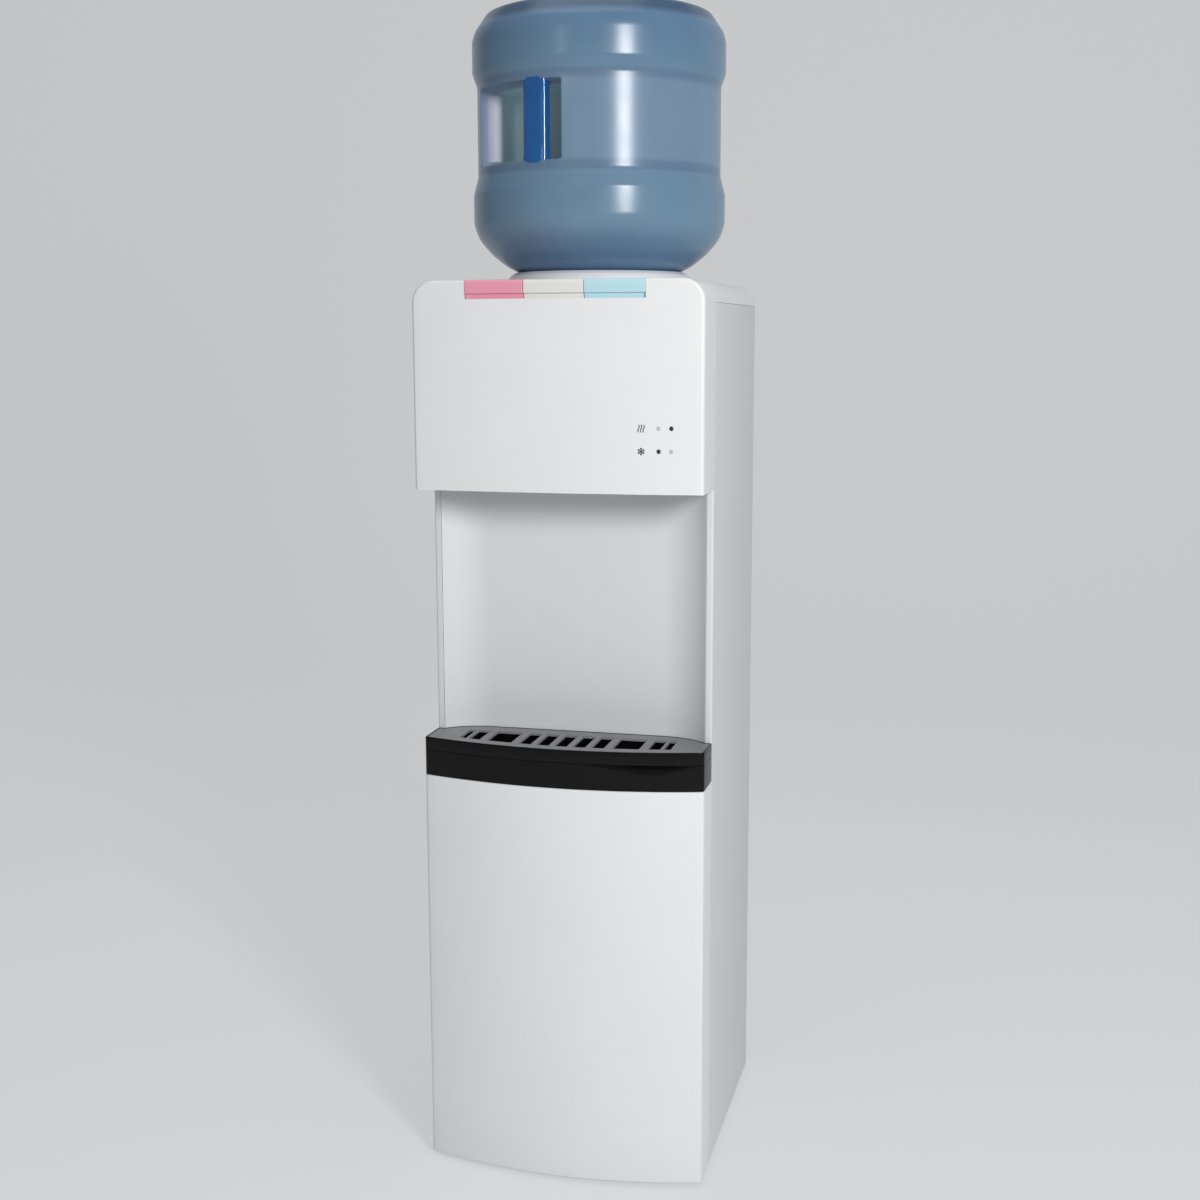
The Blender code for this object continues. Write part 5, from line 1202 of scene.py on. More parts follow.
def plate_edges(x, inset):
    """The grille's front and back edges at each x: the bow with a rounded corner, and the niche's curve.

    Within r of a side the front goes back by r − sqrt(r² − d²), where d is how far x is into the corner;
    the back is found along the niche's line.
    """
    cabinet = settings("cabinet")
    radius = 3 * MM
    into = np.clip(np.abs(x) - (HALF - inset - radius), 0, radius)
    front = bow_y(x, cabinet.front_bow, inset) + radius - np.sqrt(radius**2 - into**2 * 0.98)
    line = niche_line(-NICHE_GAP - inset)
    back = np.interp(x, line[:, 0], line[:, 1], left=SEAM_Y, right=SEAM_Y)
    limit = HALF - cabinet.flange - FLANGE_GAP
    return front, np.where(np.abs(x) > limit, SEAM_Y - inset, np.maximum(back, SEAM_Y - inset))


def grille_grids():
    """The slotted plate in strips: a front band, a rear band, and a bar beside each slot.

    All strips share their x places, so that they join; the slots are what the bars leave open. The line
    behind the slots keeps in front of the plate's back edge, which comes forward at both ends.
    """
    inset = 2.3 * MM
    edge = HALF - inset
    places = [-edge]
    for at, width in GRILLE_SLOTS:
        places += [(at - width / 2) * HALF, (at + width / 2) * HALF]
    places.append(edge)
    height = high("drip_grille")[Z]
    last = len(places) - 2
    grids = []
    for run in range(last + 1):
        x = np.linspace(places[run], places[run + 1], 33 if run in (0, last) else 9)
        front, back = plate_edges(x, inset)
        slot_front = bow_y(x, settings("cabinet").front_bow) + 16 * MM
        slot_back = np.minimum(SEAM_Y, back - 2 * MM)
        bands = [(front, slot_front), (slot_back, back)]
        if run % 2 == 0:
            bands.append((slot_front, slot_back))
        for start, end in bands:
            sheet = ruled(np.stack([x, start], -1), np.stack([x, end], -1), 4)
            grids.append(np.insert(sheet, 2, height, axis=-1))
    return grids


class COOLER_OT_tray(bpy.types.Operator):
    """Make the black band with its finger scoop, the lift-out tray and the slotted grille"""

    bl_idname = "cooler.tray"
    bl_label = "Drip tray"

    def execute(self, context):
        cabinet = settings("cabinet")
        heart = (0, -100 * MM, middle("tray_band")[Z])
        piece(
            "band_wall",
            [band_grid()],
            black_trim(),
            "black_trim",
            "tray_band",
            wall=cabinet.wall,
            rim=0.25 * MM,
            inner=heart,
        )
        reach = niche_line(2.4 * MM)[-1, 0]
        x = np.linspace(-reach, reach, 41)
        back = np.stack([x, np.full(len(x), high("tray_band")[Y])], -1)
        front = np.stack([x, bow_y(x, cabinet.front_bow, cabinet.wall - 0.2 * MM)], -1)
        piece(
            "band_floor",
            plan_plate(front, back, BAND_BOTTOM, BAND_BOTTOM + cabinet.wall),
            black_trim(),
            "black_trim",
        )
        piece("tray_pan", tray_grids(), tray_black(), "black_trim", "drip_tray", body="tray")
        piece(
            "grille_plate",
            grille_grids(),
            grille_grey(),
            "grey_grille",
            "drip_grille",
            body="grille",
            wall=2.7 * MM,
            rim=0.35 * MM,
            inner=(0, -120 * MM, 0),
        )
        return {"FINISHED"}


# Buttons and lights


def button_lines():
    """A button's side view as two matched lines of (kind, y, z), the outside and the inside of its wall.

    Kind 1 points lie behind the bowed front by their y, and kind 0 points keep their own y. The outside
    runs over the top, round a quarter circle at the nose, down the face, and in to the set-back skirt.
    """
    buttons = settings("buttons")
    nose, step, lip, wall = buttons.nose, buttons.step, 0.7 * MM, 2.5 * MM
    face_low = CABINET_TOP - buttons.height
    turn = np.radians(np.linspace(90, 0, 9))
    ease = np.radians(np.linspace(0, 90, 4))
    deep = step + 2 * MM
    under = CABINET_TOP - wall
    outside = [(0, BUTTON_BACK, CABINET_TOP), (0, -124 * MM, CABINET_TOP), (0, -142 * MM, CABINET_TOP)]
    inside = [(0, BUTTON_BACK, under), (0, -124 * MM, under), (0, -142 * MM, under)]
    outside += [(1, nose * (1 - math.cos(t)), CABINET_TOP - nose * (1 - math.sin(t))) for t in turn]
    inside += [(1, deep + 6 * MM * (1 - share), under) for share in np.linspace(0.2, 1, 9)]
    outside += [(1, lip * (1 - math.cos(t)), face_low + lip * (1 - math.sin(t))) for t in ease]
    inside += [(1, deep, height) for height in np.linspace(under - 3 * MM, face_low + 0.5 * MM, 4)]
    outside += [(1, step - 0.3 * MM, face_low), (1, step, face_low - 0.3 * MM), (1, step, BUTTON_LOW)]
    inside += [(1, deep, face_low), (1, deep, face_low - 0.3 * MM), (1, deep, BUTTON_LOW)]
    return np.array(outside), np.array(inside)


def button_grids(left, right):
    """A button's section carried across the bow: y = front + bow·(x/half)² + setback on the bowed points.

    Within r of each side the outside is drawn in along its normals by r·(1 − cos t), which rounds the ends;
    a strip between the two lines closes each end.
    """
    outside, inside = button_lines()
    bow, ease = settings("cabinet").head_bow, 0.6 * MM
    turn = np.radians(np.linspace(0, 90, 5))
    into = ease * (1 - np.cos(turn))
    x = np.concatenate([left + into, np.linspace(left + 2 * MM, right - 2 * MM, 21), right - into[::-1]])
    draw = np.concatenate([ease * (1 - np.sin(turn)), np.zeros(21), ease * (1 - np.sin(turn[::-1]))])
    side_view = outside[:, 1:] + outside[:, :1] * (FRONT, 0)
    outward = right_normals(side_view)
    front = bow_y(x, bow)[:, None]
    outer_y = outside[None, :, 1] + outside[None, :, 0] * front - outward[None, :, 0] * draw[:, None]
    outer_z = outside[None, :, 2] - outward[None, :, 1] * draw[:, None]
    inner_y = inside[None, :, 1] + inside[None, :, 0] * front
    inner_z = np.broadcast_to(inside[None, :, 2], inner_y.shape)
    across = np.broadcast_to(x[:, None], outer_y.shape)
    outer = np.stack([across, outer_y, outer_z], -1)
    inner = np.stack([across, inner_y, inner_z], -1)
    ends = [np.stack([outer[row], inner[row]]) for row in (0, -1)]
    rims = [np.stack([outer[:, column], inner[:, column]]) for column in (0, -1)]
    return [outer, inner, *ends, *rims]


class COOLER_OT_buttons(bpy.types.Operator):
    """Make the three push buttons, hot, room and cold, each on its own hinge"""

    bl_idname = "cooler.buttons"
    bl_label = "Push buttons"

    def execute(self, context):
        axle = middle("button_axle")
        reach = 4.2 * MM
        slots = ("pink_button", "white_button", "blue_button")
        for kind, slot, left, right in zip(("hot", "room", "cold"), slots, BUTTON_LEFTS, BUTTON_RIGHTS):
            grids = button_grids(left, right)
            centre = (left + right) / 2
            for side in (left + 9 * MM, right - 9 * MM):
                lowest = (side - 2.5 * MM, axle[Y] - reach, axle[Z] - reach)
                highest = (side + 2.5 * MM, axle[Y] + reach, CABINET_TOP - 1.2 * MM)
                grids.append(slab(lowest, highest, 0.6 * MM))
            nose_y, nose_low = FRONT + 24 * MM, CABINET_TOP - 12 * MM
            nose = [(0, nose_low), (2 * MM, nose_low), (2 * MM, CABINET_TOP - MM), (0, CABINET_TOP - MM)]
            grids.append(turned(round_profile(nose, [0, 0.7, 0, 0]), (centre, nose_y), 20))
            piece(
                f"{kind}_button_cap",
                grids,
                button_plastic(kind),
                slot,
                f"{kind}_button",
                body=f"{kind}_button",
            )
        return {"FINISHED"}


INK_WIDTH = 0.95 * MM  # Of a symbol's strokes.
INK_LIFT = 0.06 * MM  # How far the print stands proud of the head.


def stroke(line, width, lift):
    """A printed line on the head: a ribbon of an even width, lying just proud of the bowed front."""
    line = np.asarray(line, float)
    across = right_normals(line) * width / 2
    sides = np.stack([line - across, line + across])
    return head_point(sides, -lift)


def steam_strokes(x, z, size):
    """Three rising wisps: x moves by a sine of the height, and each is a little higher than the last."""
    height = np.linspace(-0.5, 0.5, 25) * size
    strokes = []
    for place in (-0.34, 0.0, 0.34):
        sway = x + place * size + 0.09 * size * np.sin(height / size * 2 * math.pi)
        strokes.append(np.stack([sway, z + height], -1))
    return strokes


def frost_strokes(x, z, size):
    """A six-armed frost star: three lines through one point, each arm with two short side branches."""
    strokes = []
    for turn in np.radians(np.arange(0, 360, 60) + 90):
        way = np.array([math.cos(turn), math.sin(turn)])
        strokes.append(np.array([x, z]) + way * np.linspace(0, 0.5, 3)[:, None] * size)
        for lean in (-1, 1):
            branch = turn + lean * math.radians(52)
            reach = np.array([math.cos(branch), math.sin(branch)]) * 0.17 * size
            start = np.array([x, z]) + way * 0.3 * size
            strokes.append(np.stack([start, start + reach]))
    return strokes


class COOLER_OT_lights(bpy.types.Operator):
    """Make the four domed lights and the printed steam and frost symbols beside them"""

    bl_idname = "cooler.lights"
    bl_label = "Lights and symbols"

    def execute(self, context):
        lights = settings("lights")
        clear, dark = lens_plastic("clear"), lens_plastic("dark")
        bow = settings("cabinet").head_bow
        lenses = {"lower_left": dark, "lower_right": clear, "upper_left": clear, "upper_right": dark}
        for name, material in lenses.items():
            node = f"{name}_light"
            centre = middle(node)
            radius = (high(node)[X] - low(node)[X]) / 2
            face = float(bow_y(centre[X], bow))
            turn = np.radians(np.linspace(0, 90, 9))
            top = face - lights.lens_proud * np.cos(turn) - 0.1 * MM
            dome = np.stack([radius * 0.93 * np.sin(turn), top], -1)
            ring = [(radius, face - 0.1 * MM), (radius, face + 9 * MM), (0, face + 9 * MM)]
            profile = np.concatenate([dome, ring])
            piece(
                f"{name}_lens",
                [turned(profile, (centre[X], centre[Z]), 32, along=Y)],
                material,
                "light_lens",
                node,
            )
        column = low("lower_left_light")[X] - 15 * MM
        size = lights.symbol_height
        for name, row, strokes in (
            ("steam", middle("upper_left_light")[Z], steam_strokes),
            ("frost", middle("lower_left_light")[Z], frost_strokes),
        ):
            grids = [stroke(line, INK_WIDTH, INK_LIFT) for line in strokes(column, row, size)]
            centre = (column, REAR, row)
            piece(f"{name}_symbol", grids, symbol_ink(), "grey_moulding", wall=2 * INK_LIFT, inner=centre)
        return {"FINISHED"}


# Taps

SPRING_SEAT = 908 * MM  # The height of the rod's collar, under which the spring bears.


def tap_grids(node, rod):
    """One tap: a barrel with a barbed tail, a spout through the head's floor, and a stem round its rod.

    Each is a profile of (radius, place) with eased corners, turned round its own axis.
    """
    lowest, highest = low(node), high(node)
    x = (lowest[X] + highest[X]) / 2
    floor = high("head_floor")[Z]
    axis_z = floor + 13 * MM
    barrel, neck, tail_y = 10 * MM, 3.2 * MM, highest[Y] - 8 * MM
    body = [(0, lowest[Y]), (barrel, lowest[Y]), (barrel, tail_y), (neck, tail_y)]
    body = round_profile(body, [0, 1.6, 1.2, 0])
    barbs = [(3.6, 0.6), (2.9, 3.0), (3.6, 3.0), (2.9, 5.4), (3.6, 5.4), (2.9, 8.0), (0, 8.0)]
    tail = np.array(barbs) * MM + (0, tail_y)
    bore, pipe, flange = 4.5 * MM, 7 * MM, 12 * MM
    seat, flange_top = floor + 0.3 * MM, floor + 3.3 * MM
    spout = [(pipe, lowest[Z]), (pipe, seat), (flange, seat), (flange, flange_top), (pipe, flange_top)]
    spout += [(pipe, axis_z), (bore, axis_z), (bore, lowest[Z]), spout[0]]
    spout = round_profile(spout, [0, 0, 0.5, 0.5, 0.8, 0, 0, 0, 0])
    bore, wall, top = 2.8 * MM, 6 * MM, highest[Z]
    stem = [(bore, top - 8 * MM), (bore, top), (wall, top), (wall, axis_z), (bore, axis_z)]
    stem = round_profile([*stem, stem[0]], [0, 0.4, 0.8, 0, 0, 0])
    return [
        turned(np.concatenate([body, tail]), (x, axis_z), 48, along=Y),
        turned(spout, (x, FRONT + 42 * MM), 48),
        turned(stem, (x, rod[Y]), 40),
    ]


def rod_grid(node, rod):
    """One push rod: a thin stem, a collar that bears on the spring, and a thicker head."""
    lowest, highest = low(node)[Z], high(node)[Z]
    stem, head, collar = 2.5 * MM, 4 * MM, 6.5 * MM
    collar_top = SPRING_SEAT + 2 * MM
    profile = [(0, lowest), (stem, lowest), (stem, SPRING_SEAT), (collar, SPRING_SEAT)]
    profile += [(collar, collar_top), (head, collar_top), (head, highest), (0, highest)]
    eased = round_profile(profile, [0, 0.5, 0, 0.4, 0.4, 0.6, 0.8, 0])
    return turned(eased, (rod[X], rod[Y]), 32)


def spring_grid(node, rod):
    """One return spring: six and a half turns of round wire, closed up at both ends.

    The height runs evenly with the turn for half of its share, and by a smooth step for the other half.
    """
    lowest, highest = low(node)[Z], high(node)[Z]
    wire, coil = 0.6 * MM, 4.6 * MM
    turn = np.linspace(0, 2 * math.pi * 6.5, 260)
    run = (turn / turn[-1] - 0.06) / 0.88
    rise = blend_rise(run) * 0.5 + np.clip(run, 0, 1) * 0.5
    height = lowest + wire + rise * (highest - lowest - 2 * wire)
    return tube(np.stack([rod[X] + coil * np.cos(turn), rod[Y] + coil * np.sin(turn), height], -1), wire, 8)


class COOLER_OT_taps(bpy.types.Operator):
    """Make the push rods, their springs and the three taps with their downward spouts"""

    bl_idname = "cooler.taps"
    bl_label = "Taps and rods"

    def execute(self, context):
        for kind in ("hot", "room", "cold"):
            tap, rod, spring = f"{kind}_tap", f"{kind}_push_rod", f"{kind}_spring"
            at = middle(rod)
            piece(f"{kind}_tap_body", tap_grids(tap, at), spout_plastic(), "spout_white", tap)
            piece(f"{kind}_rod", [rod_grid(rod, at)], spout_plastic(), "spout_white", rod, body=rod)
            coil = [spring_grid(spring, at)]
            coil = piece(f"{kind}_coil", coil, bright_steel(), "bright_steel", spring)
            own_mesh(coil)
        return {"FINISHED"}


# Bottle

# The body's outside as shares of its radius and of its height over the collar.
BODY = (
    (0.745, 0.026),
    (0.857, 0.071),
    (0.960, 0.130),
    (1.000, 0.190),
    (1.000, 0.302),
    (0.985, 0.332),
    (0.963, 0.373),
    (0.963, 0.720),
    (0.985, 0.750),
    (1.000, 0.772),
    (1.000, 0.891),
    (0.978, 0.925),
    (0.941, 0.951),
    (0.889, 0.989),
    (0.830, 1.000),
    (0.778, 0.996),
    (0.726, 0.970),
    (0.000, 0.970),
)
# Angles round the bottle, in degrees from its front, to the right above zero.
HANDLE_AZIMUTH = -17.0
POCKET_EDGES = (-58.0, -4.0)
POCKET_LOW = 1066.5 * MM
POCKET_HIGH = 1144.5 * MM
POCKET_EASE = 7 * MM  # The height over which the pocket's upper and lower edges slope in.
WAIST = 130 * MM  # The body's radius over the pocket's height.


def bottle_outline():
    """The bottle's outside from the neck's end up to the middle of its base, with every bend eased."""
    seat = COLLAR_TOP + 0.3 * MM
    radius = (high("bottle")[X] - low("bottle")[X]) / 2
    corners = [
        (27.5 * MM, NECK_END),
        (27.5 * MM, seat - 38 * MM),
        (31.5 * MM, seat - 32 * MM),
        (54.7 * MM, seat - 14.5 * MM),
        (86.8 * MM, seat),
    ]
    corners += [(across * radius, seat + up * (BOTTLE_TOP - seat)) for across, up in BODY]
    eases = [0, 6, 6, 40, 30, 60, 50, 40, 30, 14, 12, 14, 14, 12, 14, 30, 20, 12, 6, 5, 5, 4, 0]
    return round_profile(corners, eases, 7)


def pocket_depth(azimuth, height):
    """How far the pocket draws the body's radius in, as a share from 0 to 1.

    It is the product of smooth steps in from each of the pocket's four edges; the upper and the lower one
    slope, as the mould opens.
    """
    start, end = POCKET_EDGES
    sideways = blend_rise((azimuth - start + 1.2) / 3.6) * blend_rise((end - azimuth + 1.2) / 3.0)
    from_low, from_high = height - POCKET_LOW + MM, POCKET_HIGH - height + MM
    return sideways * (blend_rise(from_low / POCKET_EASE) * blend_rise(from_high / POCKET_EASE))


def bottle_grid():
    """The bottle's outside turned round its axis, with the handle's pocket pressed into it.

    The radius is the outline's, drawn in towards the pocket's floor by the pocket's share there. The
    columns are closer together over the pocket's edges, and the rows over its height.
    """
    outline = bottle_outline()
    run = np.concatenate([[0], np.cumsum(np.linalg.norm(np.diff(outline, axis=0), axis=1))])
    at_low = np.interp(POCKET_LOW - 4 * MM, outline[:, 1], run)
    at_high = np.interp(POCKET_HIGH + 4 * MM, outline[:, 1], run)
    edge = 14 * MM
    fine_rows = np.concatenate(
        [
            np.linspace(at_low, at_low + edge, 18),
            np.linspace(at_low + edge, at_high - edge, 16)[1:-1],
            np.linspace(at_high - edge, at_high, 18),
        ]
    )
    plain_rows = run[(run < at_low - MM) | (run > at_high + MM)]
    place = np.unique(np.concatenate([plain_rows, fine_rows]))
    radius, height = np.interp(place, run, outline[:, 0]), np.interp(place, run, outline[:, 1])
    start, end = POCKET_EDGES
    left, right = 360 + start, 360 + end
    azimuth = np.concatenate(
        [
            np.linspace(end + 3, left - 3, 130)[:-1],
            np.linspace(left - 3, left + 4, 16)[:-1],
            np.linspace(left + 4, right - 4, 30)[:-1],
            np.linspace(right - 4, right + 3, 16),
        ]
    )
    signed = np.where(azimuth > 180, azimuth - 360, azimuth)
    share = pocket_depth(signed[None], height[:, None])
    floor = WAIST - settings("bottle").pocket_depth
    reach = radius[:, None] * (1 - share) + floor * share
    angle = np.radians(azimuth)[None]
    heights = np.broadcast_to(height[:, None], reach.shape)
    return np.stack([reach * np.sin(angle), BOTTLE_Y - reach * np.cos(angle), heights], -1)


def handle_grid():
    """The upright handle across the pocket: a rounded section carried up the body's waist.

    The section is |u/a|ⁿ + |v/b|ⁿ = 1 with n = 5; its width grows towards both ends by a smooth step, as
    the plastic flares into the body, and its ends close inside the body's wall.
    """
    bottle = settings("bottle")
    reach = (POCKET_HIGH - POCKET_LOW) / 2 + 3 * MM
    height = np.concatenate([[-reach], np.linspace(-reach, reach, 41), [reach]])
    flare = blend_rise((np.abs(height) - reach + 16 * MM) / (14 * MM))
    half_width = bottle.handle_width / 2 * (1 + 0.02 * flare)
    half_thick = bottle.handle_thickness / 2 * (1 + 0.12 * flare)
    closed = np.ones(len(height))
    closed[[0, -1]] = 0.0
    turn = np.linspace(0, 2 * math.pi, 49)
    power = 2 / 5
    across = np.sign(np.cos(turn)) * np.abs(np.cos(turn)) ** power
    depth = np.sign(np.sin(turn)) * np.abs(np.sin(turn)) ** power
    u = across[None] * (half_width * closed)[:, None]
    v = depth[None] * (half_thick * closed)[:, None]
    middle_radius = WAIST - 0.8 * MM - bottle.handle_thickness / 2
    azimuth = math.radians(HANDLE_AZIMUTH) + u / WAIST
    radius = middle_radius + v
    middle_z = (POCKET_LOW + POCKET_HIGH) / 2
    heights = np.broadcast_to((middle_z + height)[:, None], radius.shape)
    return np.stack([radius * np.sin(azimuth), BOTTLE_Y - radius * np.cos(azimuth), heights], -1)


def bottle_cap_grid():
    """The bottle's screw cap: a turned cup with a hole for the probe, and 60 ribs round its skirt."""
    lowest, highest = low("bottle_cap")[Z], high("bottle_cap")[Z]
    outer = (high("bottle_cap")[X] - low("bottle_cap")[X]) / 2
    bore, mouth, wall = 27.8 * MM, 6.6 * MM, 2.2 * MM
    profile = [
        (mouth, lowest),
        (outer - 0.5 * MM, lowest),
        (outer - 0.5 * MM, highest - 2 * MM),
        (outer - 0.3 * MM, highest),
        (bore, highest),
        (bore, lowest + wall),
        (mouth, lowest + wall),
        (mouth, lowest),
    ]
    eased = round_profile(profile, [0, 1.4, 0.4, 0.5, 0.3, 0, 0.3, 0])
    ribbed = ribs(0.3 * MM, 60, lowest + 2 * MM, highest - 3 * MM, 2 * MM)
    return turned(eased, count=360, wobble=ribbed)


class COOLER_OT_bottle(bpy.types.Operator):
    """Make the inverted blue bottle with its ribs, its pocket and the handle across it, and its cap"""

    bl_idname = "cooler.bottle"
    bl_label = "Bottle"

    def execute(self, context):
        bottle = settings("bottle")
        piece(
            "bottle_shell",
            [bottle_grid()],
            bottle_plastic(),
            "blue_bottle",
            "bottle",
            body="bottle",
            wall=bottle.wall,
            inner=(0, BOTTLE_Y, middle("bottle")[Z]),
            sharp=math.radians(50),
        )
        piece("bottle_handle", [handle_grid()], handle_plastic(), "blue_bottle", body="bottle")
        piece(
            "bottle_screw_cap", [bottle_cap_grid()], cap_plastic(), "white_cap", "bottle_cap", body="bottle"
        )
        return {"FINISHED"}


class COOLER_OT_collar(bpy.types.Operator):
    """Make the round collar and funnel that carry the bottle, with the probe that opens its cap"""

    bl_idname = "cooler.collar"
    bl_label = "Bottle collar"

    def execute(self, context):
        ring = 100.5 * MM
        shell_z = CABINET_TOP + 0.3 * MM
        well, floor, wall = 34 * MM, low("bottle_collar")[Z] + 2.5 * MM, 2.5 * MM
        probe = 6.3 * MM
        profile = [
            (86.9 * MM, COLLAR_TOP),
            (54.9 * MM, COLLAR_TOP - 14.6 * MM),
            (well, COLLAR_TOP - 30.4 * MM),
            (well, floor),
            (probe, floor),
            (probe, floor - wall),
            (well + wall, floor - wall),
            (well + wall, COLLAR_TOP - 32.9 * MM),
            (54.9 * MM, COLLAR_TOP - 17.8 * MM),
            (80 * MM, CABINET_TOP - 6.4 * MM),
            (80 * MM, shell_z),
            (ring, shell_z),
            (ring - 1.0 * MM, CABINET_TOP + 4.2 * MM),
            (ring - 4.2 * MM, CABINET_TOP + 9 * MM),
            (91.4 * MM, COLLAR_TOP),
            (86.9 * MM, COLLAR_TOP),
        ]
        rounded = round_profile(profile, [0, 4, 4, 2.5, 0, 0, 2, 3, 3, 1, 0, 0.5, 4, 6, 1.2, 0])
        piece("collar_ring", [turned(rounded, count=144)], shell_white(), "white_shell", "bottle_collar")
        lowest, highest = low("feed_probe")[Z], high("feed_probe")[Z]
        flange = floor + 0.3 * MM
        bore = 4 * MM
        spike = [
            (bore, lowest),
            (6 * MM, lowest),
            (6 * MM, flange),
            (12 * MM, flange),
            (12 * MM, flange + 2 * MM),
            (6 * MM, flange + 2 * MM),
            (6 * MM, highest - 3.5 * MM),
            (4.6 * MM, highest),
            (bore, highest - 0.3 * MM),
            (bore, lowest),
        ]
        shaped = round_profile(spike, [0, 0.3, 0, 0.4, 0.5, 1, 1.5, 0.3, 0, 0])
        piece("probe_tube", [turned(shaped, count=48)], moulding_grey(), "grey_moulding", "feed_probe")
        return {"FINISHED"}


# Back and underside


TUBE_Y = BACK_FACE + 7 * MM  # The middle of the condenser's tube.
CONDENSER_HALF = HALF - 32 * MM  # Half the condenser's width.
LEAD_X = CONDENSER_HALF - 2.5 * MM  # The tube's upright run at the side, which carries the drier.
ROWS, ROW_PITCH, FIRST_ROW = 11, 42 * MM, 430 * MM
DRIER_LOW = 160.5 * MM


def condenser_route():
    """The condenser's tube as the solid has it: up from the compressor, then level rows.

    Half circles of half the rows' pitch join the rows, right and left by turns.
    """
    bend = ROW_PITCH / 2
    reach = CONDENSER_HALF - bend
    run_y = middle("compressor")[Y] + 14 * MM
    meet = low("base_pan")[Z] + 72 * MM
    lead = [
        (56.3 * MM, run_y, meet),
        (LEAD_X - bend, run_y, meet),
        (LEAD_X - 4 * MM, run_y + 3 * MM, meet + 4 * MM),
        (LEAD_X, run_y + bend * 0.7, meet + bend * 0.7),
        (LEAD_X, TUBE_Y, meet + 2 * bend),
        (LEAD_X, TUBE_Y, FIRST_ROW - 2 * bend),
        (LEAD_X - bend / 2, TUBE_Y, FIRST_ROW - bend / 2),
    ]
    runs = [np.array(lead)]
    angle = np.radians(np.linspace(-90, 90, 13))[1:-1]
    for row in range(ROWS):
        side = 1 if row % 2 else -1
        z = FIRST_ROW + row * ROW_PITCH
        runs.append(np.array([(-side * reach, TUBE_Y, z), (0, TUBE_Y, z), (side * reach, TUBE_Y, z)]))
        if row < ROWS - 1:
            arc_x, arc_z = side * (reach + bend * np.cos(angle)), z + bend + bend * np.sin(angle)
            runs.append(np.stack([arc_x, np.full(len(angle), TUBE_Y), arc_z], -1))
    return np.concatenate(runs)


def wire_grids(xs, y, low_z, high_z, radius):
    """Many upright wires at once: six-sided tubes at each x, closed at both ends."""
    angle = np.linspace(0, 2 * math.pi, 7)
    heights = np.array([low_z, low_z, high_z, high_z])
    size = np.array([0, 1, 1, 0]) * radius
    x = xs[:, None, None] + size[None, :, None] * np.cos(angle)[None, None]
    depth = np.broadcast_to(y + size[None, :, None] * np.sin(angle)[None, None], x.shape)
    return np.stack([x, depth, np.broadcast_to(heights[None, :, None], x.shape)], -1)


def rail_grid(x):
    """One of the two flat rails between the tube and the back panel."""
    lowest = (x - 4.5 * MM, BACK_FACE + 0.3 * MM, 409 * MM)
    return slab(lowest, (x + 4.5 * MM, TUBE_Y - 1.5 * MM, 871 * MM), 0.6 * MM)


def drier_grid():
    """The drier on the tube's lead: a straight can with a cone at each end, turned round the lead."""
    shape = [(0, 0), (2.5, 0), (6.5, 8), (6.5, 72), (2.5, 80), (0, 80)]
    profile = [(radius * MM, DRIER_LOW + up * MM) for radius, up in shape]
    return turned(round_profile(profile, [0, 1, 3, 3, 1, 0]), (LEAD_X, TUBE_Y), 32)


class COOLER_OT_condenser(bpy.types.Operator):
    """Make the condenser at the back: its tube, its upright wires, its two rails and the drier"""

    bl_idname = "cooler.condenser"
    bl_label = "Condenser"

    def execute(self, context):
        rear = settings("rear")
        grids = [tube(condenser_route(), rear.tube, 12, up=(0, 1, 0.02))]
        reach = HALF - 40 * MM
        xs = np.linspace(-reach, reach, rear.wires)
        out = rear.tube + rear.wire * 0.8
        for side in (-1, 1):
            grids += list(wire_grids(xs, TUBE_Y + side * out, 418 * MM, 862 * MM, rear.wire))
        grids += [rail_grid(side * 88 * MM) for side in (-1, 1)]
        grids.append(drier_grid())
        piece("condenser_grid", grids, black_enamel(), "black_enamel", "condenser")
        return {"FINISHED"}


# The compressor's can: shares of its radius and of its height over the plate.
CAN = (
    (0.0, 0.0),
    (0.86, 0.0),
    (1.0, 0.117),
    (1.0, 0.52),
    (1.0, 0.56),
    (1.0, 0.785),
    (0.88, 0.914),
    (0.55, 0.98),
    (0.0, 1.0),
)


def compressor_grids():
    """The compressor's can, turned from its profile, with its weld seam, its plate and its terminal box."""
    lowest, highest = low("compressor"), high("compressor")
    centre_x, centre_y = middle("compressor")[:2]
    plate, radius = lowest[Z] + 8 * MM, 56 * MM
    tall = highest[Z] - plate
    corners = []
    for across, up in CAN:
        inset = 1.2 * MM if 0 < across < 1 else 0
        corners.append((across * radius - inset, plate + up * tall))
    can = round_profile(corners, [0, 8, 12, 0.6, 0.6, 22, 30, 60, 0], 8)
    seam_z, proud = plate + 0.54 * tall, 1.6 * MM
    seam = [(radius - MM, seam_z - proud), (radius + proud, seam_z - proud)]
    seam += [(radius + proud, seam_z + proud), (radius - MM, seam_z + proud), seam[0]]
    weld = round_profile(seam, [0, 0.8, 0.8, 0, 0])
    half_x, half_y = (highest[X] - lowest[X]) / 2, 46 * MM
    plate_high = (centre_x + half_x, centre_y + half_y, plate + 3 * MM)
    box_half, box_y = 18 * MM, centre_y - radius
    box_high = (centre_x + box_half, box_y + 12 * MM, plate + 80 * MM)
    return [
        turned(can, (centre_x, centre_y), 72),
        turned(weld, (centre_x, centre_y), 72),
        slab((centre_x - half_x, centre_y - half_y, plate), plate_high, 1.2 * MM),
        slab((centre_x - box_half, box_y, plate + 42 * MM), box_high, 3 * MM),
    ]


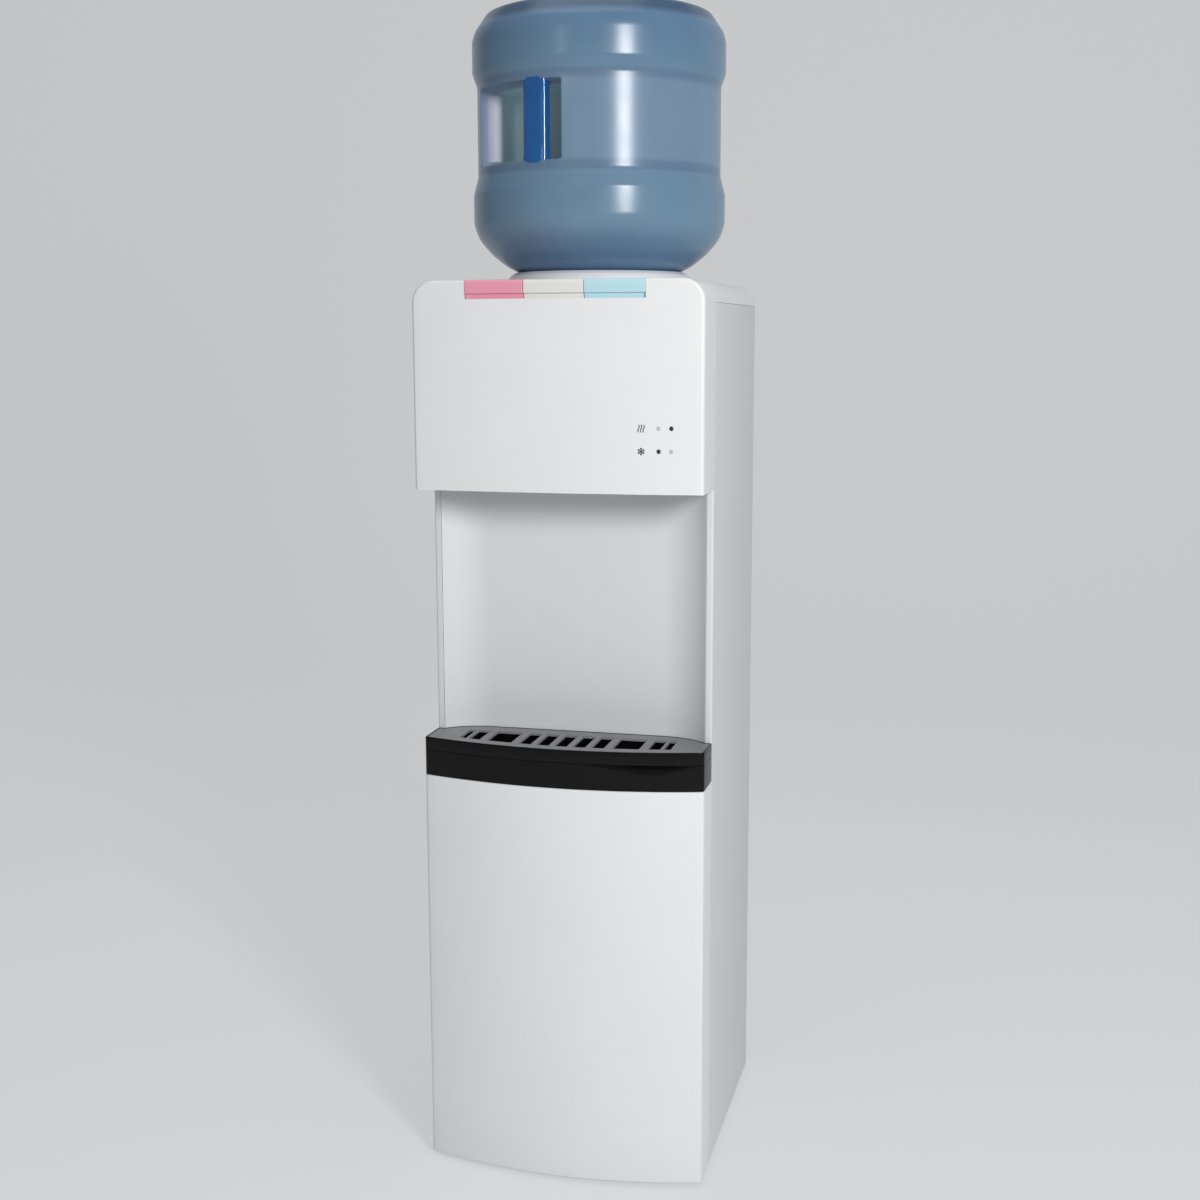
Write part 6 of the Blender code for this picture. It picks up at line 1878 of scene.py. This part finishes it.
def mount_grids():
    """The compressor's four rubber mounts: a waisted profile turned under each corner of its plate."""
    centre, floor = middle("compressor"), low("compressor")[Z]
    shape = [(0, 0), (3, 0), (9.2, 0), (9.8, 2), (7.5, 4), (9.8, 6), (9.8, 7.6), (3, 8), (0, 8)]
    profile = [(radius * MM, floor + up * MM) for radius, up in shape]
    eased = round_profile(profile, [0, 0.4, 1, 1, 1, 1, 1, 0.4, 0])
    places = [(centre[X] + x * 62 * MM, centre[Y] + y * 36 * MM) for x in (-1, 1) for y in (-1, 1)]
    return [turned(eased, place, 28) for place in places]


class COOLER_OT_compressor(bpy.types.Operator):
    """Make the compressor: a domed can with its weld seam on a plate with rubber mounts"""

    bl_idname = "cooler.compressor"
    bl_label = "Compressor"

    def execute(self, context):
        piece("compressor_can", compressor_grids(), black_enamel(), "black_enamel", "compressor")
        piece("compressor_mounts", mount_grids(), foot_rubber(), "black_rubber")
        return {"FINISHED"}


def rocker_grids(node):
    """A rocker's cap, tilted on its pivot, with a hollow face.

    The face stands out by half the depth less the hollow, and by the hollow times the square root of
    v² + 0.02 more, with v from −1 to 1 over its height; the rims draw in by a smooth step. Each point
    (y, z) from the pivot is turned by the tilt. The back is flat, and four strips close the sides.
    """
    centre = middle(node)
    half_x = (high(node)[X] - low(node)[X]) / 2
    half_depth, half_z, hollow, ease = 3 * MM, 9 * MM, MM, 0.8 * MM
    tilt = math.radians(-8.0)
    across, up = np.meshgrid(np.linspace(-1, 1, 21), np.linspace(-1, 1, 29), indexing="ij")
    from_side, from_end = (1 - np.abs(across)) * half_x, (1 - np.abs(up)) * half_z
    rim = 2 - blend_rise(from_side / ease) - blend_rise(from_end / ease)
    face = half_depth - hollow + hollow * np.sqrt(up**2 + 0.02) - 0.05 * MM - ease * np.clip(rim, 0, 1)

    def placed(depth):
        """Points at a depth from the pivot, turned by the tilt."""
        y = centre[Y] + depth * math.cos(tilt) - up * half_z * math.sin(tilt)
        z = centre[Z] + depth * math.sin(tilt) + up * half_z * math.cos(tilt)
        return np.stack([centre[X] + across * half_x, y, z], -1)

    front, back = placed(face), placed(np.full(face.shape, -half_depth))
    rims = [np.stack([front[row], back[row]]) for row in (0, -1)]
    rims += [np.stack([front[:, column], back[:, column]]) for column in (0, -1)]
    return [front, back, *rims]


def pin_grids():
    """The mains inlet's three flat pins: two below and one between them above."""
    plate_low, plate_high = low("switch_plate"), high("switch_plate")
    inlet_x, inlet_z = plate_high[X] - 38 * MM, (plate_low[Z] + plate_high[Z]) / 2
    base_y = plate_low[Y] + 2 * MM
    pins = []
    for x, z in ((-7, -2.5), (7, -2.5), (0, 3.5)):
        lowest = (inlet_x + (x - 1) * MM, base_y, inlet_z + (z - 2) * MM)
        highest = (inlet_x + (x + 1) * MM, base_y + 14 * MM, inlet_z + (z + 2) * MM)
        pins.append(slab(lowest, highest, 0.4 * MM))
    return pins


def drain_cap_grid():
    """The drain's cap: a turned cup that opens forward, with 24 ribs that fade out at both ends."""
    node = "drain_cap"
    bore, outer = 5.3 * MM, (high(node)[X] - low(node)[X]) / 2
    skirt, front, rear = outer - 0.5 * MM, low(node)[Y], high(node)[Y]
    floor = rear - 2.5 * MM
    profile = [(bore, front), (skirt, front), (skirt, rear), (0, rear), (0, floor), (bore, floor)]
    eased = round_profile([*profile, profile[0]], [0, 0.4, 1.2, 0, 0, 0, 0])
    ribbed = ribs(0.45 * MM, 24, front, rear - 1.4 * MM, MM)
    return turned(eased, middle(node)[[X, Z]], 240, along=Y, wobble=ribbed)


def screw_grids():
    """The back panel's six screw heads: a dome of 1.4 mm over a short cylinder, turned along y."""
    radius, dome_height, top = 3.6 * MM, 1.4 * MM, BACK_FACE + 2.2 * MM
    turn = np.radians(np.linspace(0, 90, 6))
    dome = np.stack([radius * np.sin(turn), top - dome_height + dome_height * np.cos(turn)], -1)
    profile = np.concatenate([dome, [(radius, BACK_FACE), (0, BACK_FACE)]])
    places = [(side * 136 * MM, z * MM) for z in (215, 560, 905) for side in (-1, 1)]
    return [turned(profile, place, 24, along=Y) for place in places]


class COOLER_OT_rear_panel(bpy.types.Operator):
    """Make the rear switches, the mains inlet's pins, the drain's cap and the screws, and give the back
    sheet, base, shelves and switch plate their finishes
    """

    bl_idname = "cooler.rear_panel"
    bl_label = "Rear panel"

    def execute(self, context):
        dress(zinc_sheet(), "back_panel", "base_pan", "cold_tank_shelf", "hot_tank_shelf")
        dress(black_enamel(), "switch_plate")
        for kind, slot in (("hot", "red_rocker"), ("cold", "green_rocker")):
            node = f"{kind}_switch"
            piece(f"{kind}_rocker", rocker_grids(node), rocker_plastic(kind), slot, node, body=node)
        piece("inlet_pins", pin_grids(), bright_steel(), "bright_steel")
        piece(
            "drain_screw_cap", [drain_cap_grid()], cap_plastic(), "white_cap", "drain_cap", body="drain_cap"
        )
        piece("panel_screws", screw_grids(), bright_steel(), "bright_steel")
        return {"FINISHED"}


def glide_grid(node):
    """A rubber glide: a turned disc with a slightly hollow underside and eased edges."""
    top, outer, hollow = high(node)[Z], (high(node)[X] - low(node)[X]) / 2, 0.6 * MM
    corners = [(0, hollow), (4 * MM, hollow), (5.5 * MM, 0)]
    corners += [(outer - MM, 0), (outer, MM), (outer, top), (0, top)]
    eased = round_profile(corners, [0, 0.5, 0.5, 0.5, 0.8, 0.4, 0])
    return turned(eased, middle(node)[:2], 48)


class COOLER_OT_feet(bpy.types.Operator):
    """Make the four rubber glides under the base"""

    bl_idname = "cooler.feet"
    bl_label = "Feet"

    def execute(self, context):
        for end in ("front", "rear"):
            for side in ("left", "right"):
                node = f"foot_{end}_{side}"
                piece(f"{end}_{side}_glide", [glide_grid(node)], foot_rubber(), "black_rubber", node)
        return {"FINISHED"}


class COOLER_OT_inside(bpy.types.Operator):
    """Give the hidden tanks, hoses and fittings their finishes, and make the chilled tank's coil"""

    bl_idname = "cooler.inside"
    bl_label = "Inside"

    def execute(self, context):
        dress(brushed_stainless(), "cold_tank", "hot_tank")
        dress(white_foam(), "cold_tank_insulation", "hot_tank_jacket")
        dress(silicone(), "cold_hose", "room_hose", "hot_hose", "hot_feed_hose")
        dress(spout_plastic(), "drain_pipe")
        dress(cap_plastic(), "cold_tank_lid")
        dress(moulding_grey(), "button_frame")
        dress(bright_steel(), "button_axle", "heating_element")
        dress(black_enamel(), "hot_thermostat")
        dress(board_green(), "indicator_board")
        lowest, highest = low("evaporator_coil"), high("evaporator_coil")
        pipe, turns = 3 * MM, 3
        radius = (highest[X] - lowest[X]) / 2 - pipe
        turn = np.linspace(0, 2 * math.pi * turns, turns * 48 + 1)
        height = lowest[Z] + pipe + turn / turn[-1] * (highest[Z] - lowest[Z] - 2 * pipe)
        x, y = middle("evaporator_coil")[X], middle("cold_tank")[Y]
        coil = np.stack([x + radius * np.cos(turn), y + radius * np.sin(turn), height], -1)
        piece("chiller_coil", [tube(coil, pipe, 12)], copper_tube(), "copper", "evaporator_coil")
        return {"FINISHED"}


# Stage

CAMERA_PLACE = (0.44167, -1.7319, 0.88925)
CAMERA_YAW = 0.24631
CAMERA_PITCH = 0.15892
CAMERA_ROLL = -0.00253
BACKDROP_LIGHT = 0.85  # How bright the backdrop's colour is to the camera where nothing stands before it.
# Each light's name, place, the point that it looks at, its width and height, and its setting.
LIGHTS = (
    ("key_light", (1.35, -1.8, 1.4), (0, -0.1, 0.6), (0.5, 0.7), "key"),
    ("left_light", (-0.62, -1.85, 1.5), (0, 0, 1.0), (0.2, 0.2), "glint"),
    ("top_light", (-0.2, -0.1, 3.0), (0, 0, 0.6), (2.0, 2.0), "top"),
)


def camera_axes():
    """The camera's right, up and back directions from its yaw, pitch and roll."""
    yaw, pitch, roll = CAMERA_YAW, CAMERA_PITCH, CAMERA_ROLL
    ahead = np.array([-math.sin(yaw) * math.cos(pitch), math.cos(yaw) * math.cos(pitch), -math.sin(pitch)])
    level_right = np.array([math.cos(yaw), math.sin(yaw), 0.0])
    upright = np.cross(level_right, ahead)
    right = math.cos(roll) * level_right + math.sin(roll) * upright
    up = -math.sin(roll) * level_right + math.cos(roll) * upright
    return right, up, -ahead


def posed(name, data, side, up, back, place):
    """Puts a light or a camera in the scene by its right, up and back directions and its place."""
    made = bpy.data.objects.new(name, data)
    bpy.context.scene.collection.objects.link(made)
    pose = np.eye(4)
    pose[:3] = np.stack([side, up, back, place], -1)
    made.matrix_world = Matrix(pose.tolist())
    return made


def area_light(name, place, target, size, strength):
    """A soft oval light that looks at a point; its strength is the power in watts."""
    data = bpy.data.lights.new(name, "AREA")
    data.shape = "ELLIPSE"
    data.size, data.size_y = size
    data.energy = strength
    back = np.subtract(place, target)
    back /= np.linalg.norm(back)
    side = np.cross((0, 0, 1), back)
    side /= np.linalg.norm(side)
    return posed(name, data, side, np.cross(back, side), back, place)


def backdrop_grid():
    """The floor, which turns up behind the part through a quarter circle into an upright backdrop."""
    bend, back, top = 0.9, 2.6, 5.0
    turn = np.radians(np.linspace(0, 90, 25))
    curve = np.stack([back + bend * np.sin(turn), bend * (1 - np.cos(turn))], -1)
    profile = np.concatenate([[(-6.0, 0.0), (-2.0, 0.0), (1.0, 0.0)], curve, [(back + bend, top)]])
    xs = np.linspace(-7, 7, 9)
    return np.insert(profile[:, None].repeat(len(xs), 1), 0, xs, axis=-1)


def studio_paper():
    """The floor's pale paper: part of it shows its own colour to the camera, the rest takes light."""
    stage = settings("stage")
    material = finish("studio_paper", stage.floor, 0.9, 0.01, clouds=0.6, grain=60.0, relief=0.0)
    tree = material.node_tree
    rays = add(tree, "LightPath", "Is Camera Ray").node.outputs
    seen = joined(tree, "MAXIMUM", rays["Is Camera Ray"], rays["Is Glossy Ray"])
    seen = joined(tree, "MAXIMUM", seen, rays["Is Transmission Ray"])
    glow = joined(tree, "MULTIPLY", seen, stage.glow)
    lit = tree.nodes["Principled BSDF"].outputs["BSDF"]
    own = add(tree, "Emission", "Emission", Color=(*stage.floor, 1))
    paper = add(tree, "MixShader", "Shader", in_0=glow, in_1=lit, in_2=own)
    tree.links.new(paper, tree.nodes["Material Output"].inputs["Surface"])
    return material


def studio_world():
    """The even light from all round; to the camera it is as pale as the backdrop."""
    stage = settings("stage")
    world = bpy.data.worlds.new("studio")
    world.use_nodes = True
    tree = world.node_tree
    light = tree.nodes["Background"]
    light.inputs["Color"].default_value = (*WHITE, 1)
    light.inputs["Strength"].default_value = stage.fill
    backdrop = add(tree, "Background", "Background", Color=(*stage.floor, 1), Strength=BACKDROP_LIGHT)
    seen = add(tree, "LightPath", "Is Camera Ray")
    shown = add(tree, "MixShader", "Shader", in_0=seen, in_1=light.outputs["Background"], in_2=backdrop)
    tree.links.new(shown, tree.nodes["World Output"].inputs["Surface"])
    return world


class COOLER_OT_stage(bpy.types.Operator):
    """Make the pale floor and backdrop, the soft lights and the camera"""

    bl_idname = "cooler.stage"
    bl_label = "Stage"

    def execute(self, context):
        stage = settings("stage")
        points, faces = joined_grids([backdrop_grid()])
        mesh = bpy.data.meshes.new("studio_floor")
        mesh.from_pydata(points.tolist(), [], faces.tolist())
        mesh.shade_smooth()
        mesh.materials.append(studio_paper())
        floor = bpy.data.objects.new("studio_floor", mesh)
        context.scene.collection.objects.link(floor)
        for name, place, target, size, setting in LIGHTS:
            area_light(name, place, target, size, getattr(stage, setting))
        context.scene.world = studio_world()
        data = bpy.data.cameras.new("photo_view")
        data.lens = stage.lens
        data.sensor_width = 36
        data.sensor_fit = "HORIZONTAL"
        context.scene.camera = posed("photo_view", data, *camera_axes(), CAMERA_PLACE)
        context.scene.view_settings.view_transform = "Standard"
        return {"FINISHED"}


OPERATORS = (
    COOLER_OT_head,
    COOLER_OT_cover,
    COOLER_OT_sides,
    COOLER_OT_niche,
    COOLER_OT_lower_front,
    COOLER_OT_tray,
    COOLER_OT_buttons,
    COOLER_OT_lights,
    COOLER_OT_taps,
    COOLER_OT_bottle,
    COOLER_OT_collar,
    COOLER_OT_condenser,
    COOLER_OT_compressor,
    COOLER_OT_rear_panel,
    COOLER_OT_feet,
    COOLER_OT_inside,
    COOLER_OT_stage,
)


class COOLER_PT_sidebar(bpy.types.Panel):
    """Lists the cooler's pieces and its settings"""

    bl_idname = "COOLER_PT_sidebar"
    bl_label = "Bottle Water Cooler"
    bl_space_type = "VIEW_3D"
    bl_region_type = "UI"
    bl_category = "Cooler"

    def draw(self, context):
        for operator in OPERATORS:
            self.layout.operator(operator.bl_idname)
        for name in SETTINGS:
            group = getattr(context.scene, name)
            column = self.layout.column(align=True)
            for setting in group.bl_rna.properties:
                if setting.identifier not in {"rna_type", "name"}:
                    column.prop(group, setting.identifier)


CLASSES = (*SETTINGS.values(), *OPERATORS, COOLER_PT_sidebar)


def register():
    for kind in CLASSES:
        bpy.utils.register_class(kind)
    for name, group in SETTINGS.items():
        setattr(bpy.types.Scene, name, bpy.props.PointerProperty(type=group))


def unregister():
    for name in SETTINGS:
        delattr(bpy.types.Scene, name)
    for kind in reversed(CLASSES):
        bpy.utils.unregister_class(kind)


def main():
    """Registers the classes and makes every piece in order."""
    register()
    for operator in OPERATORS:
        getattr(bpy.ops.cooler, operator.bl_idname.split(".")[1])()
    bpy.context.view_layer.update()


if __name__ == "__main__":
    main()
